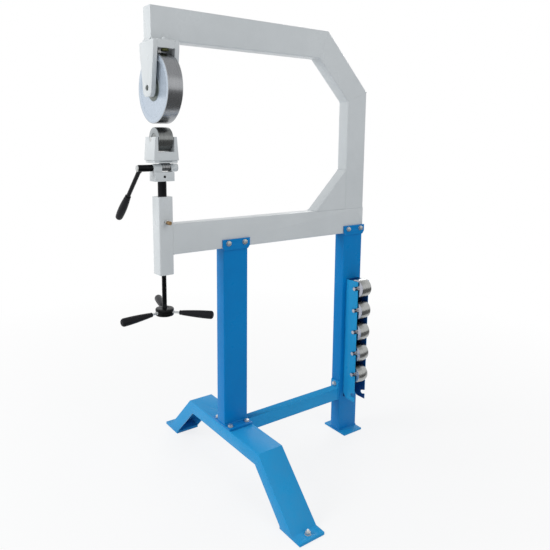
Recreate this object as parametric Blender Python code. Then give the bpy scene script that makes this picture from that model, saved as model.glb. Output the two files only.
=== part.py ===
# English wheel: a tube C-frame on a two-column stand, with its anvil rack.
# Metres, +Z up, +X along the throat from the wheels to the upright.
import math

import bmesh
import bpy
from mathutils import Matrix, Vector

# Clearances
fit_gap = 0.0003
overrun = 0.01

# Frame tubes
tube_depth = 0.1016
tube_width = 0.0508
tube_wall = 0.0048
overall_height = 1.650
throat_depth = 0.798
corner_run = 0.2125
nose_length = 0.0396
throat_height = 0.5754
gusset_leg = 0.156

# Upper fork and wheel
fork_length = 0.0889
fork_width = 0.1016
fork_plate_height = 0.0254
cheek_thickness = 0.015
cheek_tip_width = 0.058
cheek_tip_chamfer = 0.011
cheek_drop = 0.170
wheel_radius = 0.109
wheel_width = 0.0508
wheel_edge = 0.002
wheel_recess = 0.002
wheel_recess_outer = 0.090
wheel_recess_inner = 0.040
wheel_boss_radius = 0.028
wheel_side_gap = 0.0006
wheel_axle_drop = 0.1435
wheel_axle_radius = 0.008
wheel_axle_stub = 0.0025
wheel_nut_width = 0.022
wheel_nut_height = 0.007
fork_bolt_width = 0.022
fork_bolt_head = 0.008
fork_bolt_radius = 0.006
fork_bolt_inset = 0.0128
fork_bolt_tip = 0.002
fork_nut_width = 0.017
fork_nut_height = 0.006

# Anvils and their cradle
wheel_gap = 0.0102
anvil_radius = 0.0381
anvil_width = 0.0508
anvil_edge = 0.0015
anvil_axle_radius = 0.0075
anvil_axle_stub = 0.013
anvil_crown = 0.300
spare_crowns = (0.230, 0.150, 0.100, 0.075, 0.060)
cradle_top_half = 0.0375
cradle_base_half = 0.0440
cradle_half_width = 0.0375
cradle_side_gap = 0.0022
cradle_lip = 0.0073
cradle_floor_gap = 0.0017
cradle_floor = 0.0277
cradle_plate_height = 0.0073
cradle_plate_inset = 0.0035
cradle_groove_depth = 0.006
cradle_groove_height = 0.004
cradle_groove_half = 0.022

# Cam, its housing and lever
cam_drop = 0.0162
cam_lift = 0.005
cam_lift_angle = 90.0
cam_margin_angle = 12.0
cam_base_radius = 0.0105
cam_start = -0.004
cam_end = 0.028
camshaft_radius = 0.008
camshaft_collar_radius = 0.013
camshaft_collar_length = 0.018
camshaft_tip_length = 0.0035
housing_front = 0.033
housing_rear = 0.0345
housing_half_width = 0.0215
housing_axis_height = 0.0428
housing_height = 0.0295
lug_radius = 0.013
lever_hub_radius = 0.011
lever_hub_length = 0.050
lever_arm_setback = 0.0095
lever_arm_radius = 0.007
lever_angle = 42.5
lever_length = 0.268
lever_grip_length = 0.130
lever_grip_neck = 0.0095
lever_grip_radius = 0.0142
set_screw_radius = 0.004
set_screw_depth = 0.010
set_screw_proud = 0.0008
set_screw_socket = 0.002

# Ram and its square housing
ram_radius = 0.0143
ram_hold = 0.1335
ram_tube_fall = 0.0654
ram_tube_rise = 0.0905
ram_travel_down = 0.040
ram_travel_up = 0.004
screw_radius = 0.008
lock_rise = 0.0085
lock_radius = 0.005
lock_head_radius = 0.0065
lock_head_length = 0.014
lock_head_edge = 0.0009
lock_reach = 0.029
lock_nut_width = 0.0145
lock_nut_height = 0.008

# Adjuster hub with three handles
adjuster_hub_radius = 0.031
adjuster_hub_height = 0.025
adjuster_hub_edge = 0.004
adjuster_drop = 0.142
handle_count = 3
handle_angle = 72.0
handle_rod_radius = 0.004
handle_rod_length = 0.030
handle_grip_length = 0.117
handle_grip_neck = 0.0078
handle_grip_radius = 0.0137
handle_grip_overlap = 0.008

# Stand
front_column_centre = 0.2696
foot_top = 0.2005
foot_width = 0.1016
foot_flat_half = 0.238
foot_toe = 0.0347079
foot_channel_depth = 0.047
foot_wall = 0.005
foot_reach = 0.4615
pad_length = 0.1035
pad_thickness = 0.010
base_flange_thickness = 0.008
base_flange_half_width = 0.060
flange_bolt_x = 0.036
flange_bolt_y = 0.0425
rear_base_width = 0.124
rear_base_thickness = 0.008
stretcher_width = 0.0381
stretcher_height = 0.0508
stretcher_wall = 0.003
stretcher_plate_width = 0.042
stretcher_plate_rise = 0.031
stretcher_plate_thickness = 0.006
stretcher_bolt_rise = 0.017
saddle_thickness = 0.005
saddle_overhang = 0.0062
saddle_rise = 0.0305
saddle_fall = 0.008
saddle_chamfer_x = 0.0085
saddle_chamfer_z = 0.0125
saddle_bolt_spacing = 0.068
saddle_bolt_rise = 0.0170

# Bolts of the stand
bolt_radius = 0.005
bolt_head_width = 0.017
bolt_head_height = 0.007
bolt_nut_height = 0.008
pad_bolt_inset = 0.022
pad_bolt_height = 0.016
pad_bolt_head = 0.009

# Anvil rack
rack_half_width = 0.032
rack_sheet = 0.003
rack_depth = 0.066
rack_place = 0.4505
rack_head = 0.031
rack_slot_count = 6
rack_slot_pitch = 0.0922
rack_first_slot = 0.026
rack_slot_inset = 0.0145
rack_slot_slope = 18.0
rack_foot_chamfer = 0.022

# Roundness of the turned pieces, in flat sides and steps
fine_sides = 48
spare_sides = 32
round_sides = 24
small_sides = 12
crown_steps = 6
cam_steps = 48
cam_return_start = 55.0
cam_return_end = 70.0

# Shares that shape the handle grips, along their length and of their radius
grip_neck_shares = ((0.0, 0.86), (0.03, 1.0))
grip_belly_shares = (0.3, 0.6, 0.85)
grip_rounding_share = 0.6
grip_rounding_steps = 3

# Places that follow from the sizes
beam_bottom = overall_height - tube_depth
lower_top = beam_bottom - throat_height
lower_bottom = lower_top - tube_depth
upright_outer = throat_depth + tube_depth
half_tube = tube_width / 2
mitre_inset = tube_depth * math.tan(math.radians(22.5))
wheel_axle_z = beam_bottom - wheel_axle_drop
anvil_axle_z = wheel_axle_z - wheel_radius - wheel_gap - anvil_radius
cradle_top_z = anvil_axle_z + cradle_lip
pocket_floor_z = anvil_axle_z - anvil_radius - cradle_floor_gap
cradle_bottom_z = pocket_floor_z - cradle_floor
plate_top_z = cradle_bottom_z - fit_gap
plate_bottom_z = plate_top_z - cradle_plate_height
cam_axis_z = plate_bottom_z - cam_drop
pocket_half = anvil_width / 2 + cradle_side_gap
rear_column_centre = throat_depth + tube_depth / 2
rack_face = -half_tube - fit_gap


def clear_scene():
    for item in list(bpy.data.objects):
        bpy.data.objects.remove(item, do_unlink=True)


def material(name, colour, roughness, metallic):
    made = bpy.data.materials.new(name)
    made.use_nodes = True
    shader = made.node_tree.nodes["Principled BSDF"]
    shader.inputs["Base Color"].default_value = (*colour, 1.0)
    shader.inputs["Roughness"].default_value = roughness
    shader.inputs["Metallic"].default_value = metallic
    made.diffuse_color = (*colour, 1.0)
    return made


def add_piece(name, bm, mat, origin, smooth=False):
    # Puts the shape in the scene with its origin at the given point
    bmesh.ops.recalc_face_normals(bm, faces=bm.faces)
    bmesh.ops.translate(bm, vec=-Vector(origin), verts=bm.verts)
    mesh = bpy.data.meshes.new(name)
    bm.to_mesh(mesh)
    bm.free()
    if smooth:
        mesh.shade_smooth()
        mesh.set_sharp_from_angle(angle=math.radians(35.0))
    made = bpy.data.objects.new(name, mesh)
    made.location = origin
    made.parent = machine
    if mat is not None:
        mesh.materials.append(mat)
    bpy.context.collection.objects.link(made)
    return made


def place(axis, along, first, second):
    # Point from a distance along an axis and two coordinates in the plane across it
    if axis == "X":
        return Vector((along, first, second))
    if axis == "Y":
        return Vector((first, along, second))
    return Vector((first, second, along))


def prism_shape(outline, axis, start, end):
    bm = bmesh.new()
    low = [bm.verts.new(place(axis, start, u, v)) for u, v in outline]
    high = [bm.verts.new(place(axis, end, u, v)) for u, v in outline]
    bm.faces.new(low)
    bm.faces.new(list(reversed(high)))
    count = len(outline)
    for index in range(count):
        after = (index + 1) % count
        bm.faces.new((low[index], high[index], high[after], low[after]))
    return bm


def rectangle(u0, u1, v0, v1):
    return [(u0, v0), (u1, v0), (u1, v1), (u0, v1)]


def polygon(radius, sides, centre=(0.0, 0.0), turn=0.0):
    points = []
    for index in range(sides):
        angle = turn + math.tau * index / sides
        points.append((centre[0] + radius * math.cos(angle), centre[1] + radius * math.sin(angle)))
    return points


def hexagon(across_flats, centre, turn=0.0):
    return polygon(across_flats / 2 / math.cos(math.pi / 6), 6, centre, turn)


def turned_shape(profile, axis, centre, sides):
    # Turns (distance, radius) pairs about an axis; end radii of zero close to a point
    bm = bmesh.new()
    rings = []
    for along, radius in profile:
        if radius == 0:
            rings.append([bm.verts.new(place(axis, along, centre[0], centre[1]))])
            continue
        ring = []
        for u, v in polygon(radius, sides, centre):
            ring.append(bm.verts.new(place(axis, along, u, v)))
        rings.append(ring)
    for ring, following in zip(rings, rings[1:]):
        for index in range(sides):
            after = (index + 1) % sides
            corners = [ring[index % len(ring)], ring[after % len(ring)]]
            corners += [following[after % len(following)], following[index % len(following)]]
            unique = list(dict.fromkeys(corners))
            if len(unique) > 2:
                bm.faces.new(unique)
    for ring in (rings[0], rings[-1]):
        if len(ring) > 1:
            bm.faces.new(ring)
    return bm


def rod_shape(axis, centre, radius, start, end, sides):
    return turned_shape([(start, radius), (end, radius)], axis, centre, sides)


def change(target, bm, name, operation):
    # Boolean with a hidden guide shape
    guide = add_piece(name, bm, None, target.location.copy())
    guide.hide_render = True
    guide.display_type = "WIRE"
    guide.hide_set(True)
    step = target.modifiers.new(name, "BOOLEAN")
    step.operation = operation
    step.solver = "EXACT"
    step.object = guide
    return guide


def cut(target, bm, name):
    return change(target, bm, name, "DIFFERENCE")


def join(target, bm, name):
    return change(target, bm, name, "UNION")


clear_scene()
machine = bpy.data.objects.new("machine", None)
bpy.context.collection.objects.link(machine)

frame_white = material("frame_white", (0.62, 0.65, 0.66), 0.45, 0.0)
stand_blue = material("stand_blue", (0.03, 0.20, 0.48), 0.42, 0.0)
polished_steel = material("polished_steel", (0.50, 0.51, 0.53), 0.25, 1.0)
black_steel = material("black_steel", (0.02, 0.02, 0.025), 0.40, 0.6)
black_grip = material("black_grip", (0.015, 0.015, 0.018), 0.35, 0.0)
zinc_steel = material("zinc_steel", (0.55, 0.57, 0.60), 0.35, 1.0)
brass = material("brass", (0.45, 0.28, 0.14), 0.35, 1.0)
rack_blue = material("rack_blue", (0.05, 0.28, 0.55), 0.45, 0.0)

# Upper beam, closed at its nose and mitred at the corner tube
top_corner = upright_outer - corner_run
inner_corner = top_corner - mitre_inset
miter_gap = fit_gap / 2
beam_outline = [
    (-nose_length, beam_bottom),
    (inner_corner - miter_gap, beam_bottom),
    (top_corner - miter_gap, overall_height),
    (-nose_length, overall_height),
]
upper_beam = add_piece("upper_beam", prism_shape(beam_outline, "Y", -half_tube, half_tube), frame_white, (0, 0, beam_bottom))
beam_hollow = rectangle(tube_wall - nose_length, upright_outer, beam_bottom + tube_wall, overall_height - tube_wall)
cut(upper_beam, prism_shape(beam_hollow, "Y", tube_wall - half_tube, half_tube - tube_wall), "upper_beam_hollow")

# Corner tube at forty-five degrees between the beam and the upright
outer_side = overall_height - corner_run
corner_outline = [
    (top_corner + miter_gap, overall_height),
    (inner_corner + miter_gap, beam_bottom),
    (throat_depth, outer_side - mitre_inset + miter_gap),
    (upright_outer, outer_side + miter_gap),
]
corner_tube = add_piece("corner_tube", prism_shape(corner_outline, "Y", -half_tube, half_tube), frame_white, (top_corner, 0, overall_height))
slope = math.sqrt(0.5)
wall_shift = tube_wall * slope
far = corner_run
corner_hollow = [
    (top_corner - wall_shift - far, overall_height - wall_shift + far),
    (top_corner - (tube_depth - tube_wall) * slope - far, overall_height - (tube_depth - tube_wall) * slope + far),
    (upright_outer - (tube_depth - tube_wall) * slope + far, outer_side - (tube_depth - tube_wall) * slope - far),
    (upright_outer - wall_shift + far, outer_side - wall_shift - far),
]
cut(corner_tube, prism_shape(corner_hollow, "Y", tube_wall - half_tube, half_tube - tube_wall), "corner_tube_hollow")

# Rear upright, standing on the lower beam
upright_outline = [
    (throat_depth, lower_top + fit_gap),
    (upright_outer, lower_top + fit_gap),
    (upright_outer, outer_side - miter_gap),
    (throat_depth, outer_side - mitre_inset - miter_gap),
]
rear_upright = add_piece("rear_upright", prism_shape(upright_outline, "Y", -half_tube, half_tube), frame_white, (throat_depth, 0, lower_top))
upright_hollow = rectangle(throat_depth + tube_wall, upright_outer - tube_wall, lower_top - overrun, overall_height)
cut(rear_upright, prism_shape(upright_hollow, "Y", tube_wall - half_tube, half_tube - tube_wall), "rear_upright_hollow")

# Lower beam, butted to the ram tube and closed at its rear end
lower_front = half_tube + fit_gap
lower_outline = rectangle(lower_front, upright_outer, lower_bottom, lower_top)
lower_beam = add_piece("lower_beam", prism_shape(lower_outline, "Y", -half_tube, half_tube), frame_white, (lower_front, 0, lower_bottom))
lower_hollow = rectangle(lower_front - overrun, upright_outer - tube_wall, lower_bottom + tube_wall, lower_top - tube_wall)
cut(lower_beam, prism_shape(lower_hollow, "Y", tube_wall - half_tube, half_tube - tube_wall), "lower_beam_hollow")

# Boxed gusset in the lower corner of the throat
gusset_back = throat_depth - fit_gap
gusset_base = lower_top + fit_gap
gusset_outline = [(gusset_back - gusset_leg, gusset_base), (gusset_back, gusset_base), (gusset_back, gusset_base + gusset_leg)]
gusset = add_piece("gusset", prism_shape(gusset_outline, "Y", -half_tube, half_tube), frame_white, (gusset_back, 0, gusset_base))
gusset_inset = tube_wall / slope
gusset_hollow = [
    (gusset_back - gusset_leg + gusset_inset - overrun, gusset_base - overrun),
    (gusset_back + overrun, gusset_base - overrun),
    (gusset_back + overrun, gusset_base + gusset_leg - gusset_inset + overrun),
]
cut(gusset, prism_shape(gusset_hollow, "Y", tube_wall - half_tube, half_tube - tube_wall), "gusset_hollow")

# Fork: plate under the beam between two tapered cheeks
fork_top = beam_bottom - fit_gap
half_fork = fork_length / 2
half_fork_width = fork_width / 2
cheek_inner = half_fork - cheek_thickness
fork_plate_bottom = fork_top - fork_plate_height
plate_half = cheek_inner - fit_gap
plate_outline = rectangle(-plate_half, plate_half, fork_plate_bottom, fork_top)
fork_plate = add_piece("fork_plate", prism_shape(plate_outline, "Y", -half_fork_width, half_fork_width), frame_white, (0, 0, fork_top))
bolt_hole_radius = fork_bolt_radius + fit_gap
fork_bolt_centre = (0, fork_bolt_inset - half_fork_width)
bolt_hole = rod_shape("Z", fork_bolt_centre, bolt_hole_radius, fork_plate_bottom - overrun, fork_top + overrun, small_sides)
cut(fork_plate, bolt_hole, "fork_plate_hole")

cheek_bottom = fork_top - cheek_drop
half_tip = cheek_tip_width / 2
cheek_outline = [
    (half_fork_width, fork_top),
    (-half_fork_width, fork_top),
    (-half_fork_width, fork_plate_bottom),
    (-half_tip, cheek_bottom + cheek_tip_chamfer),
    (cheek_tip_chamfer - half_tip, cheek_bottom),
    (half_tip - cheek_tip_chamfer, cheek_bottom),
    (half_tip, cheek_bottom + cheek_tip_chamfer),
    (half_fork_width, fork_plate_bottom),
]
axle_hole_radius = wheel_axle_radius + fit_gap
for name, inner, outer in (
    ("fork_cheek_front", -cheek_inner, -half_fork),
    ("fork_cheek_rear", cheek_inner, half_fork),
):
    cheek = add_piece(name, prism_shape(cheek_outline, "X", inner, outer), frame_white, (inner, 0, wheel_axle_z))
    hole = rod_shape("X", (0, wheel_axle_z), axle_hole_radius, -half_fork - overrun, half_fork + overrun, round_sides)
    cut(cheek, hole, name + "_hole")

# Bolt through the fork's plate, in front of the beam
head_top = fork_plate_bottom - fit_gap
fork_nut_bottom = fork_top + fit_gap
fork_nut_top = fork_nut_bottom + fork_nut_height
shank = rod_shape("Z", fork_bolt_centre, fork_bolt_radius, head_top - fork_bolt_head / 2, fork_nut_top + fork_bolt_tip, small_sides)
bolt = add_piece("fork_bolt", shank, black_steel, (0, fork_bolt_centre[1], fork_plate_bottom))
join(bolt, prism_shape(hexagon(fork_bolt_width, fork_bolt_centre), "Z", head_top - fork_bolt_head, head_top), "fork_bolt_head")
join(bolt, prism_shape(hexagon(fork_nut_width, fork_bolt_centre), "Z", fork_nut_bottom, fork_nut_top), "fork_bolt_nut")

# Upper wheel: flat tread, shallow recess and a hub boss on each side, bored for its axle
wheel_half = wheel_width / 2
boss_reach = cheek_inner - wheel_side_gap
wheel_profile = [
    (-boss_reach, wheel_boss_radius),
    (wheel_recess - wheel_half, wheel_boss_radius),
    (wheel_recess - wheel_half, wheel_recess_inner),
    (wheel_recess - wheel_half, wheel_recess_outer - wheel_recess),
    (-wheel_half, wheel_recess_outer),
    (-wheel_half, wheel_radius - wheel_edge),
    (wheel_edge - wheel_half, wheel_radius),
    (wheel_half - wheel_edge, wheel_radius),
    (wheel_half, wheel_radius - wheel_edge),
    (wheel_half, wheel_recess_outer),
    (wheel_half - wheel_recess, wheel_recess_outer - wheel_recess),
    (wheel_half - wheel_recess, wheel_recess_inner),
    (wheel_half - wheel_recess, wheel_boss_radius),
    (boss_reach, wheel_boss_radius),
]
wheel_centre = (0, wheel_axle_z)
upper_wheel = add_piece(
    "upper_wheel",
    turned_shape(wheel_profile, "X", wheel_centre, fine_sides),
    polished_steel,
    (0, 0, wheel_axle_z),
    True,
)
cut(upper_wheel, rod_shape("X", wheel_centre, axle_hole_radius, -half_fork, half_fork, round_sides), "upper_wheel_bore")

axle_end = half_fork + wheel_axle_stub
upper_axle = add_piece(
    "upper_axle",
    rod_shape("X", wheel_centre, wheel_axle_radius, -axle_end, axle_end + wheel_nut_height, round_sides),
    zinc_steel,
    (0, 0, wheel_axle_z),
    True,
)
nut_start = half_fork + fit_gap
nut_outline = hexagon(wheel_nut_width, wheel_centre)
join(upper_axle, prism_shape(nut_outline, "X", nut_start, nut_start + wheel_nut_height), "upper_axle_nut")


def crown_profile(centre, crown, stub):
    # Barrel tread of the given crown radius; a stub makes the wheel one solid with its axle
    half = anvil_width / 2
    points = []
    base = anvil_radius - crown
    for index in range(crown_steps + 1):
        offset = (half - anvil_edge) * (2 * index / crown_steps - 1)
        points.append((centre + offset, base + math.sqrt(crown * crown - offset * offset)))
    rim = points[0][1] - anvil_edge
    profile = [(centre - half, rim)] + points + [(centre + half, rim)]
    if stub:
        tip = half + stub
        first = [(centre - tip, anvil_axle_radius), (centre - half, anvil_axle_radius)]
        last = [(centre + half, anvil_axle_radius), (centre + tip, anvil_axle_radius)]
        profile = first + profile + last
    return profile


# Working anvil on its axle
anvil_centre = (0, anvil_axle_z)
anvil = add_piece(
    "anvil",
    turned_shape(crown_profile(0, anvil_crown, 0), "X", anvil_centre, fine_sides),
    polished_steel,
    (0, 0, anvil_axle_z),
    True,
)
anvil_bore = anvil_axle_radius + fit_gap
cut(anvil, rod_shape("X", anvil_centre, anvil_bore, -anvil_width, anvil_width, round_sides), "anvil_bore")
anvil_axle_end = anvil_width / 2 + cradle_side_gap + (cradle_top_half - pocket_half)
anvil_axle = add_piece(
    "anvil_axle",
    rod_shape("X", anvil_centre, anvil_axle_radius, -anvil_axle_end, anvil_axle_end, round_sides),
    zinc_steel,
    (0, 0, anvil_axle_z),
    True,
)

# Cradle: a flared block with a pocket through it and an open notch in each cheek
cradle_outline = [
    (-cradle_base_half, cradle_bottom_z),
    (cradle_base_half, cradle_bottom_z),
    (cradle_top_half, cradle_top_z),
    (-cradle_top_half, cradle_top_z),
]
cradle = add_piece(
    "cradle",
    prism_shape(cradle_outline, "Y", -cradle_half_width, cradle_half_width),
    frame_white,
    (0, 0, cradle_bottom_z),
)
pocket = rectangle(-pocket_half, pocket_half, pocket_floor_z, cradle_top_z + overrun)
cut(cradle, prism_shape(pocket, "Y", -cradle_half_width - overrun, cradle_half_width + overrun), "cradle_pocket")
notch_radius = anvil_axle_radius + fit_gap
notch = [(notch_radius, cradle_top_z + overrun), (-notch_radius, cradle_top_z + overrun)]
for index in range(small_sides // 2 + 1):
    turn = math.pi + math.tau * index / small_sides
    notch.append((notch_radius * math.cos(turn), anvil_axle_z + notch_radius * math.sin(turn)))
cut(cradle, prism_shape(notch, "X", -cradle_base_half - overrun, cradle_base_half + overrun), "cradle_notch")

# Lift plate under the cradle, with a groove along its near edge
plate_x = cradle_base_half - cradle_plate_inset
plate_y = cradle_half_width - cradle_plate_inset
cradle_plate = add_piece(
    "cradle_plate",
    prism_shape(rectangle(-plate_x, plate_x, plate_bottom_z, plate_top_z), "Y", -plate_y, plate_y),
    frame_white,
    (0, 0, plate_bottom_z),
)
groove_bottom = plate_top_z - cradle_groove_height
groove = rectangle(-cradle_groove_half, cradle_groove_half, groove_bottom, plate_top_z + overrun)
cut(cradle_plate, prism_shape(groove, "Y", -plate_y - overrun, cradle_groove_depth - plate_y), "cradle_plate_groove")

# Cam housing: a block on the ram with a round-topped lug at each end
housing_bottom = cam_axis_z - housing_axis_height
housing_top = housing_bottom + housing_height
cam_gap = fit_gap * 2
cam_housing = add_piece(
    "cam_housing",
    prism_shape(rectangle(-housing_front, housing_rear, housing_bottom, housing_top), "Y", -housing_half_width, housing_half_width),
    frame_white,
    (0, 0, housing_bottom),
)
lug_outline = [(lug_radius, housing_top - lug_radius / 2)]
for index in range(small_sides // 2 + 1):
    turn = math.tau * index / small_sides
    lug_outline.append((lug_radius * math.cos(turn), cam_axis_z + lug_radius * math.sin(turn)))
lug_outline.append((-lug_radius, housing_top - lug_radius / 2))
join(cam_housing, prism_shape(lug_outline, "X", -housing_front, cam_start - cam_gap), "cam_housing_front_lug")
join(cam_housing, prism_shape(lug_outline, "X", cam_end + cam_gap, housing_rear), "cam_housing_rear_lug")
cam_centre = (0, cam_axis_z)
shaft_bore = camshaft_radius + fit_gap
cut(cam_housing, rod_shape("X", cam_centre, shaft_bore, -housing_front - overrun, housing_rear + overrun, round_sides), "cam_housing_bore")
screw_z = housing_bottom + housing_height / 2
screw_hole = rod_shape("Y", (0, screw_z), set_screw_radius + fit_gap, -housing_half_width - overrun, set_screw_depth - housing_half_width, small_sides)
cut(cam_housing, screw_hole, "cam_housing_screw_hole")
set_screw = add_piece(
    "set_screw",
    rod_shape("Y", (0, screw_z), set_screw_radius, -housing_half_width - set_screw_proud, set_screw_depth - housing_half_width - fit_gap, small_sides),
    black_steel,
    (0, -housing_half_width, screw_z),
    True,
)
socket_start = -housing_half_width - set_screw_proud - overrun
socket = prism_shape(hexagon(set_screw_radius, (0, screw_z)), "Y", socket_start, set_screw_socket - housing_half_width)
cut(set_screw, socket, "set_screw_socket")

# Camshaft: its cam rises evenly with the angle, so the lift follows the lever in proportion
lift_rate = cam_lift / math.radians(cam_lift_angle)
rest_radius = cam_drop - fit_gap - lift_rate * lift_rate / (2 * (cam_drop + cam_lift))
cam_outline = []
lift_start = 90.0 + cam_margin_angle
lift_end = 90.0 - cam_lift_angle - cam_margin_angle
return_start = lift_end - cam_return_start
return_end = lift_start + cam_return_end
for index in range(cam_steps):
    degrees = return_end - 360.0 * index / cam_steps
    if degrees > lift_start:
        share = (return_end - degrees) / (return_end - lift_start)
        top = rest_radius - lift_rate * math.radians(cam_margin_angle)
        radius = cam_base_radius + (top - cam_base_radius) * (1 - math.cos(math.pi * share)) / 2
    elif degrees >= lift_end:
        radius = rest_radius + lift_rate * math.radians(90.0 - degrees)
    elif degrees > return_start:
        share = (degrees - return_start) / (lift_end - return_start)
        top = rest_radius + lift_rate * math.radians(cam_lift_angle + cam_margin_angle)
        radius = cam_base_radius + (top - cam_base_radius) * (1 - math.cos(math.pi * share)) / 2
    else:
        radius = cam_base_radius
    turn = math.radians(degrees)
    cam_outline.append((radius * math.cos(turn), cam_axis_z + radius * math.sin(turn)))
hub_end = -housing_front - cam_gap
hub_start = hub_end - lever_hub_length
camshaft = add_piece(
    "camshaft",
    prism_shape(cam_outline, "X", cam_start, cam_end),
    polished_steel,
    (0, 0, cam_axis_z),
    True,
)
collar_start = housing_rear + cam_gap
shaft_profile = [
    (hub_start - camshaft_tip_length, camshaft_radius - fit_gap),
    (hub_start - camshaft_tip_length + fit_gap, camshaft_radius),
    (collar_start, camshaft_radius),
    (collar_start, camshaft_collar_radius),
    (collar_start + camshaft_collar_length, camshaft_collar_radius),
]
join(camshaft, turned_shape(shaft_profile, "X", cam_centre, round_sides), "camshaft_shaft")

# Lever: hub on the camshaft, arm and tapered grip
lever_hub = add_piece(
    "lever_hub",
    rod_shape("X", cam_centre, lever_hub_radius, hub_start, hub_end, round_sides),
    black_steel,
    (0, 0, cam_axis_z),
    True,
)
cut(lever_hub, rod_shape("X", cam_centre, shaft_bore, hub_start - overrun, hub_end + overrun, round_sides), "lever_hub_bore")
arm_x = hub_start + lever_arm_setback
lever_turn = math.radians(lever_angle)
lever_rotation = Matrix.Rotation(-lever_turn, 4, "X")
arm_start = lever_hub_radius + fit_gap
grip_start = lever_length - lever_grip_length
arm_end = grip_start + handle_grip_overlap


def along_lever(bm):
    # Swings a shape modelled along +Y from the cam axis down to the lever's angle
    bmesh.ops.rotate(bm, cent=Vector((0, 0, 0)), matrix=lever_rotation.to_3x3(), verts=bm.verts)
    bmesh.ops.translate(bm, vec=Vector((arm_x, 0, cam_axis_z)), verts=bm.verts)
    return bm


arm_profile = [(arm_start, lever_arm_radius), (arm_end, lever_arm_radius)]
lever_arm = add_piece(
    "lever_arm",
    along_lever(turned_shape(arm_profile, "Y", (0, 0), small_sides)),
    black_steel,
    (0, 0, cam_axis_z),
    True,
)


def grip_profile(start, length, neck, belly):
    # Handle grip that swells to its rounded outer end
    rounding = belly * grip_rounding_share
    points = [(start + length * s, neck * r) for s, r in grip_neck_shares]
    for share in grip_belly_shares:
        points.append((start + length * share, neck + (belly - neck) * math.sin(share * math.pi / 2)))
    end = start + length - rounding
    for index in range(1, grip_rounding_steps + 1):
        turn = math.radians(90.0 * index / (grip_rounding_steps + 1))
        points.append((end + rounding * math.sin(turn), belly - rounding + rounding * math.cos(turn)))
    points.append((end + rounding, belly - rounding))
    return points


lever_grip_profile = grip_profile(grip_start, lever_grip_length, lever_grip_neck, lever_grip_radius)
lever_grip = add_piece(
    "lever_grip",
    along_lever(turned_shape(lever_grip_profile, "Y", (0, 0), round_sides)),
    black_grip,
    (0, 0, cam_axis_z),
    True,
)
grip_bore = [(grip_start - overrun, lever_arm_radius + fit_gap), (arm_end + fit_gap, lever_arm_radius + fit_gap)]
cut(lever_grip, along_lever(turned_shape(grip_bore, "Y", (0, 0), small_sides)), "lever_grip_bore")

# Ram in its square tube, which is bored to a close fit above and threaded below
axis_centre = (0, 0)
ram_top = housing_bottom - fit_gap
ram_tube_top = lower_top + ram_tube_rise
ram_tube_bottom = lower_bottom - ram_tube_fall
ram_bottom = ram_tube_top - ram_hold
ram = add_piece(
    "ram",
    rod_shape("Z", axis_centre, ram_radius, ram_bottom, ram_top, round_sides),
    black_steel,
    (0, 0, ram_top),
    True,
)
ram_housing = add_piece(
    "ram_housing",
    prism_shape(rectangle(-half_tube, half_tube, -half_tube, half_tube), "Z", ram_tube_bottom, ram_tube_top),
    frame_white,
    (0, 0, ram_tube_bottom),
)
bore_bottom = ram_bottom - ram_travel_down - overrun
ram_bore = rod_shape("Z", axis_centre, ram_radius + fit_gap, bore_bottom, ram_tube_top + overrun, round_sides)
cut(ram_housing, ram_bore, "ram_housing_bore")
screw_bore = rod_shape("Z", axis_centre, screw_radius + fit_gap, ram_tube_bottom - overrun, bore_bottom + overrun, round_sides)
cut(ram_housing, screw_bore, "ram_housing_thread")
lock_height = lower_top + lock_rise
lock_centre = (0, lock_height)
lock_hole = rod_shape("Y", lock_centre, lock_radius + fit_gap, -half_tube - overrun, 0, small_sides)
cut(ram_housing, lock_hole, "ram_housing_lock_hole")

# Lock screw and its nut on the near side of the ram tube
head_start = -half_tube - lock_reach
head_end = head_start + lock_head_length
lock_profile = [
    (head_start, lock_head_radius - lock_head_edge),
    (head_start + lock_head_edge, lock_head_radius),
    (head_end, lock_head_radius),
    (head_end, lock_radius),
    (-ram_radius - fit_gap, lock_radius),
]
lock_screw = add_piece("lock_screw", turned_shape(lock_profile, "Y", lock_centre, small_sides), brass, (0, -half_tube, lock_height), True)
lock_face = -half_tube - fit_gap
lock_nut = add_piece(
    "lock_nut",
    prism_shape(hexagon(lock_nut_width, lock_centre), "Y", lock_face - lock_nut_height, lock_face),
    black_steel,
    (0, lock_face, lock_height),
)
cut(lock_nut, rod_shape("Y", lock_centre, lock_radius + fit_gap, lock_face - lock_nut_height - overrun, lock_face + overrun, small_sides), "lock_nut_bore")

# Adjuster: screw, hub and three handles
adjuster_hub_bottom = ram_tube_bottom - adjuster_drop
hub_top = adjuster_hub_bottom + adjuster_hub_height
hub_middle = adjuster_hub_bottom + adjuster_hub_height / 2
adjuster_screw = add_piece(
    "adjuster_screw",
    rod_shape("Z", axis_centre, screw_radius, adjuster_hub_bottom + adjuster_hub_edge, ram_bottom - fit_gap, round_sides),
    black_steel,
    (0, 0, hub_middle),
    True,
)
hub_profile = [
    (adjuster_hub_bottom, adjuster_hub_radius - adjuster_hub_edge),
    (adjuster_hub_bottom + adjuster_hub_edge, adjuster_hub_radius),
    (hub_top - adjuster_hub_edge, adjuster_hub_radius),
    (hub_top, adjuster_hub_radius - adjuster_hub_edge),
]
adjuster_hub = add_piece(
    "adjuster_hub",
    turned_shape(hub_profile, "Z", axis_centre, round_sides),
    black_steel,
    (0, 0, hub_middle),
    True,
)
hub_bore_start = adjuster_hub_bottom + adjuster_hub_edge - fit_gap
cut(adjuster_hub, rod_shape("Z", axis_centre, screw_radius + fit_gap, hub_bore_start, hub_top + overrun, round_sides), "adjuster_hub_bore")
rod_start = adjuster_hub_radius + fit_gap
rod_end = rod_start + handle_rod_length
handle_grip_start = rod_end - handle_grip_overlap


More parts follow.
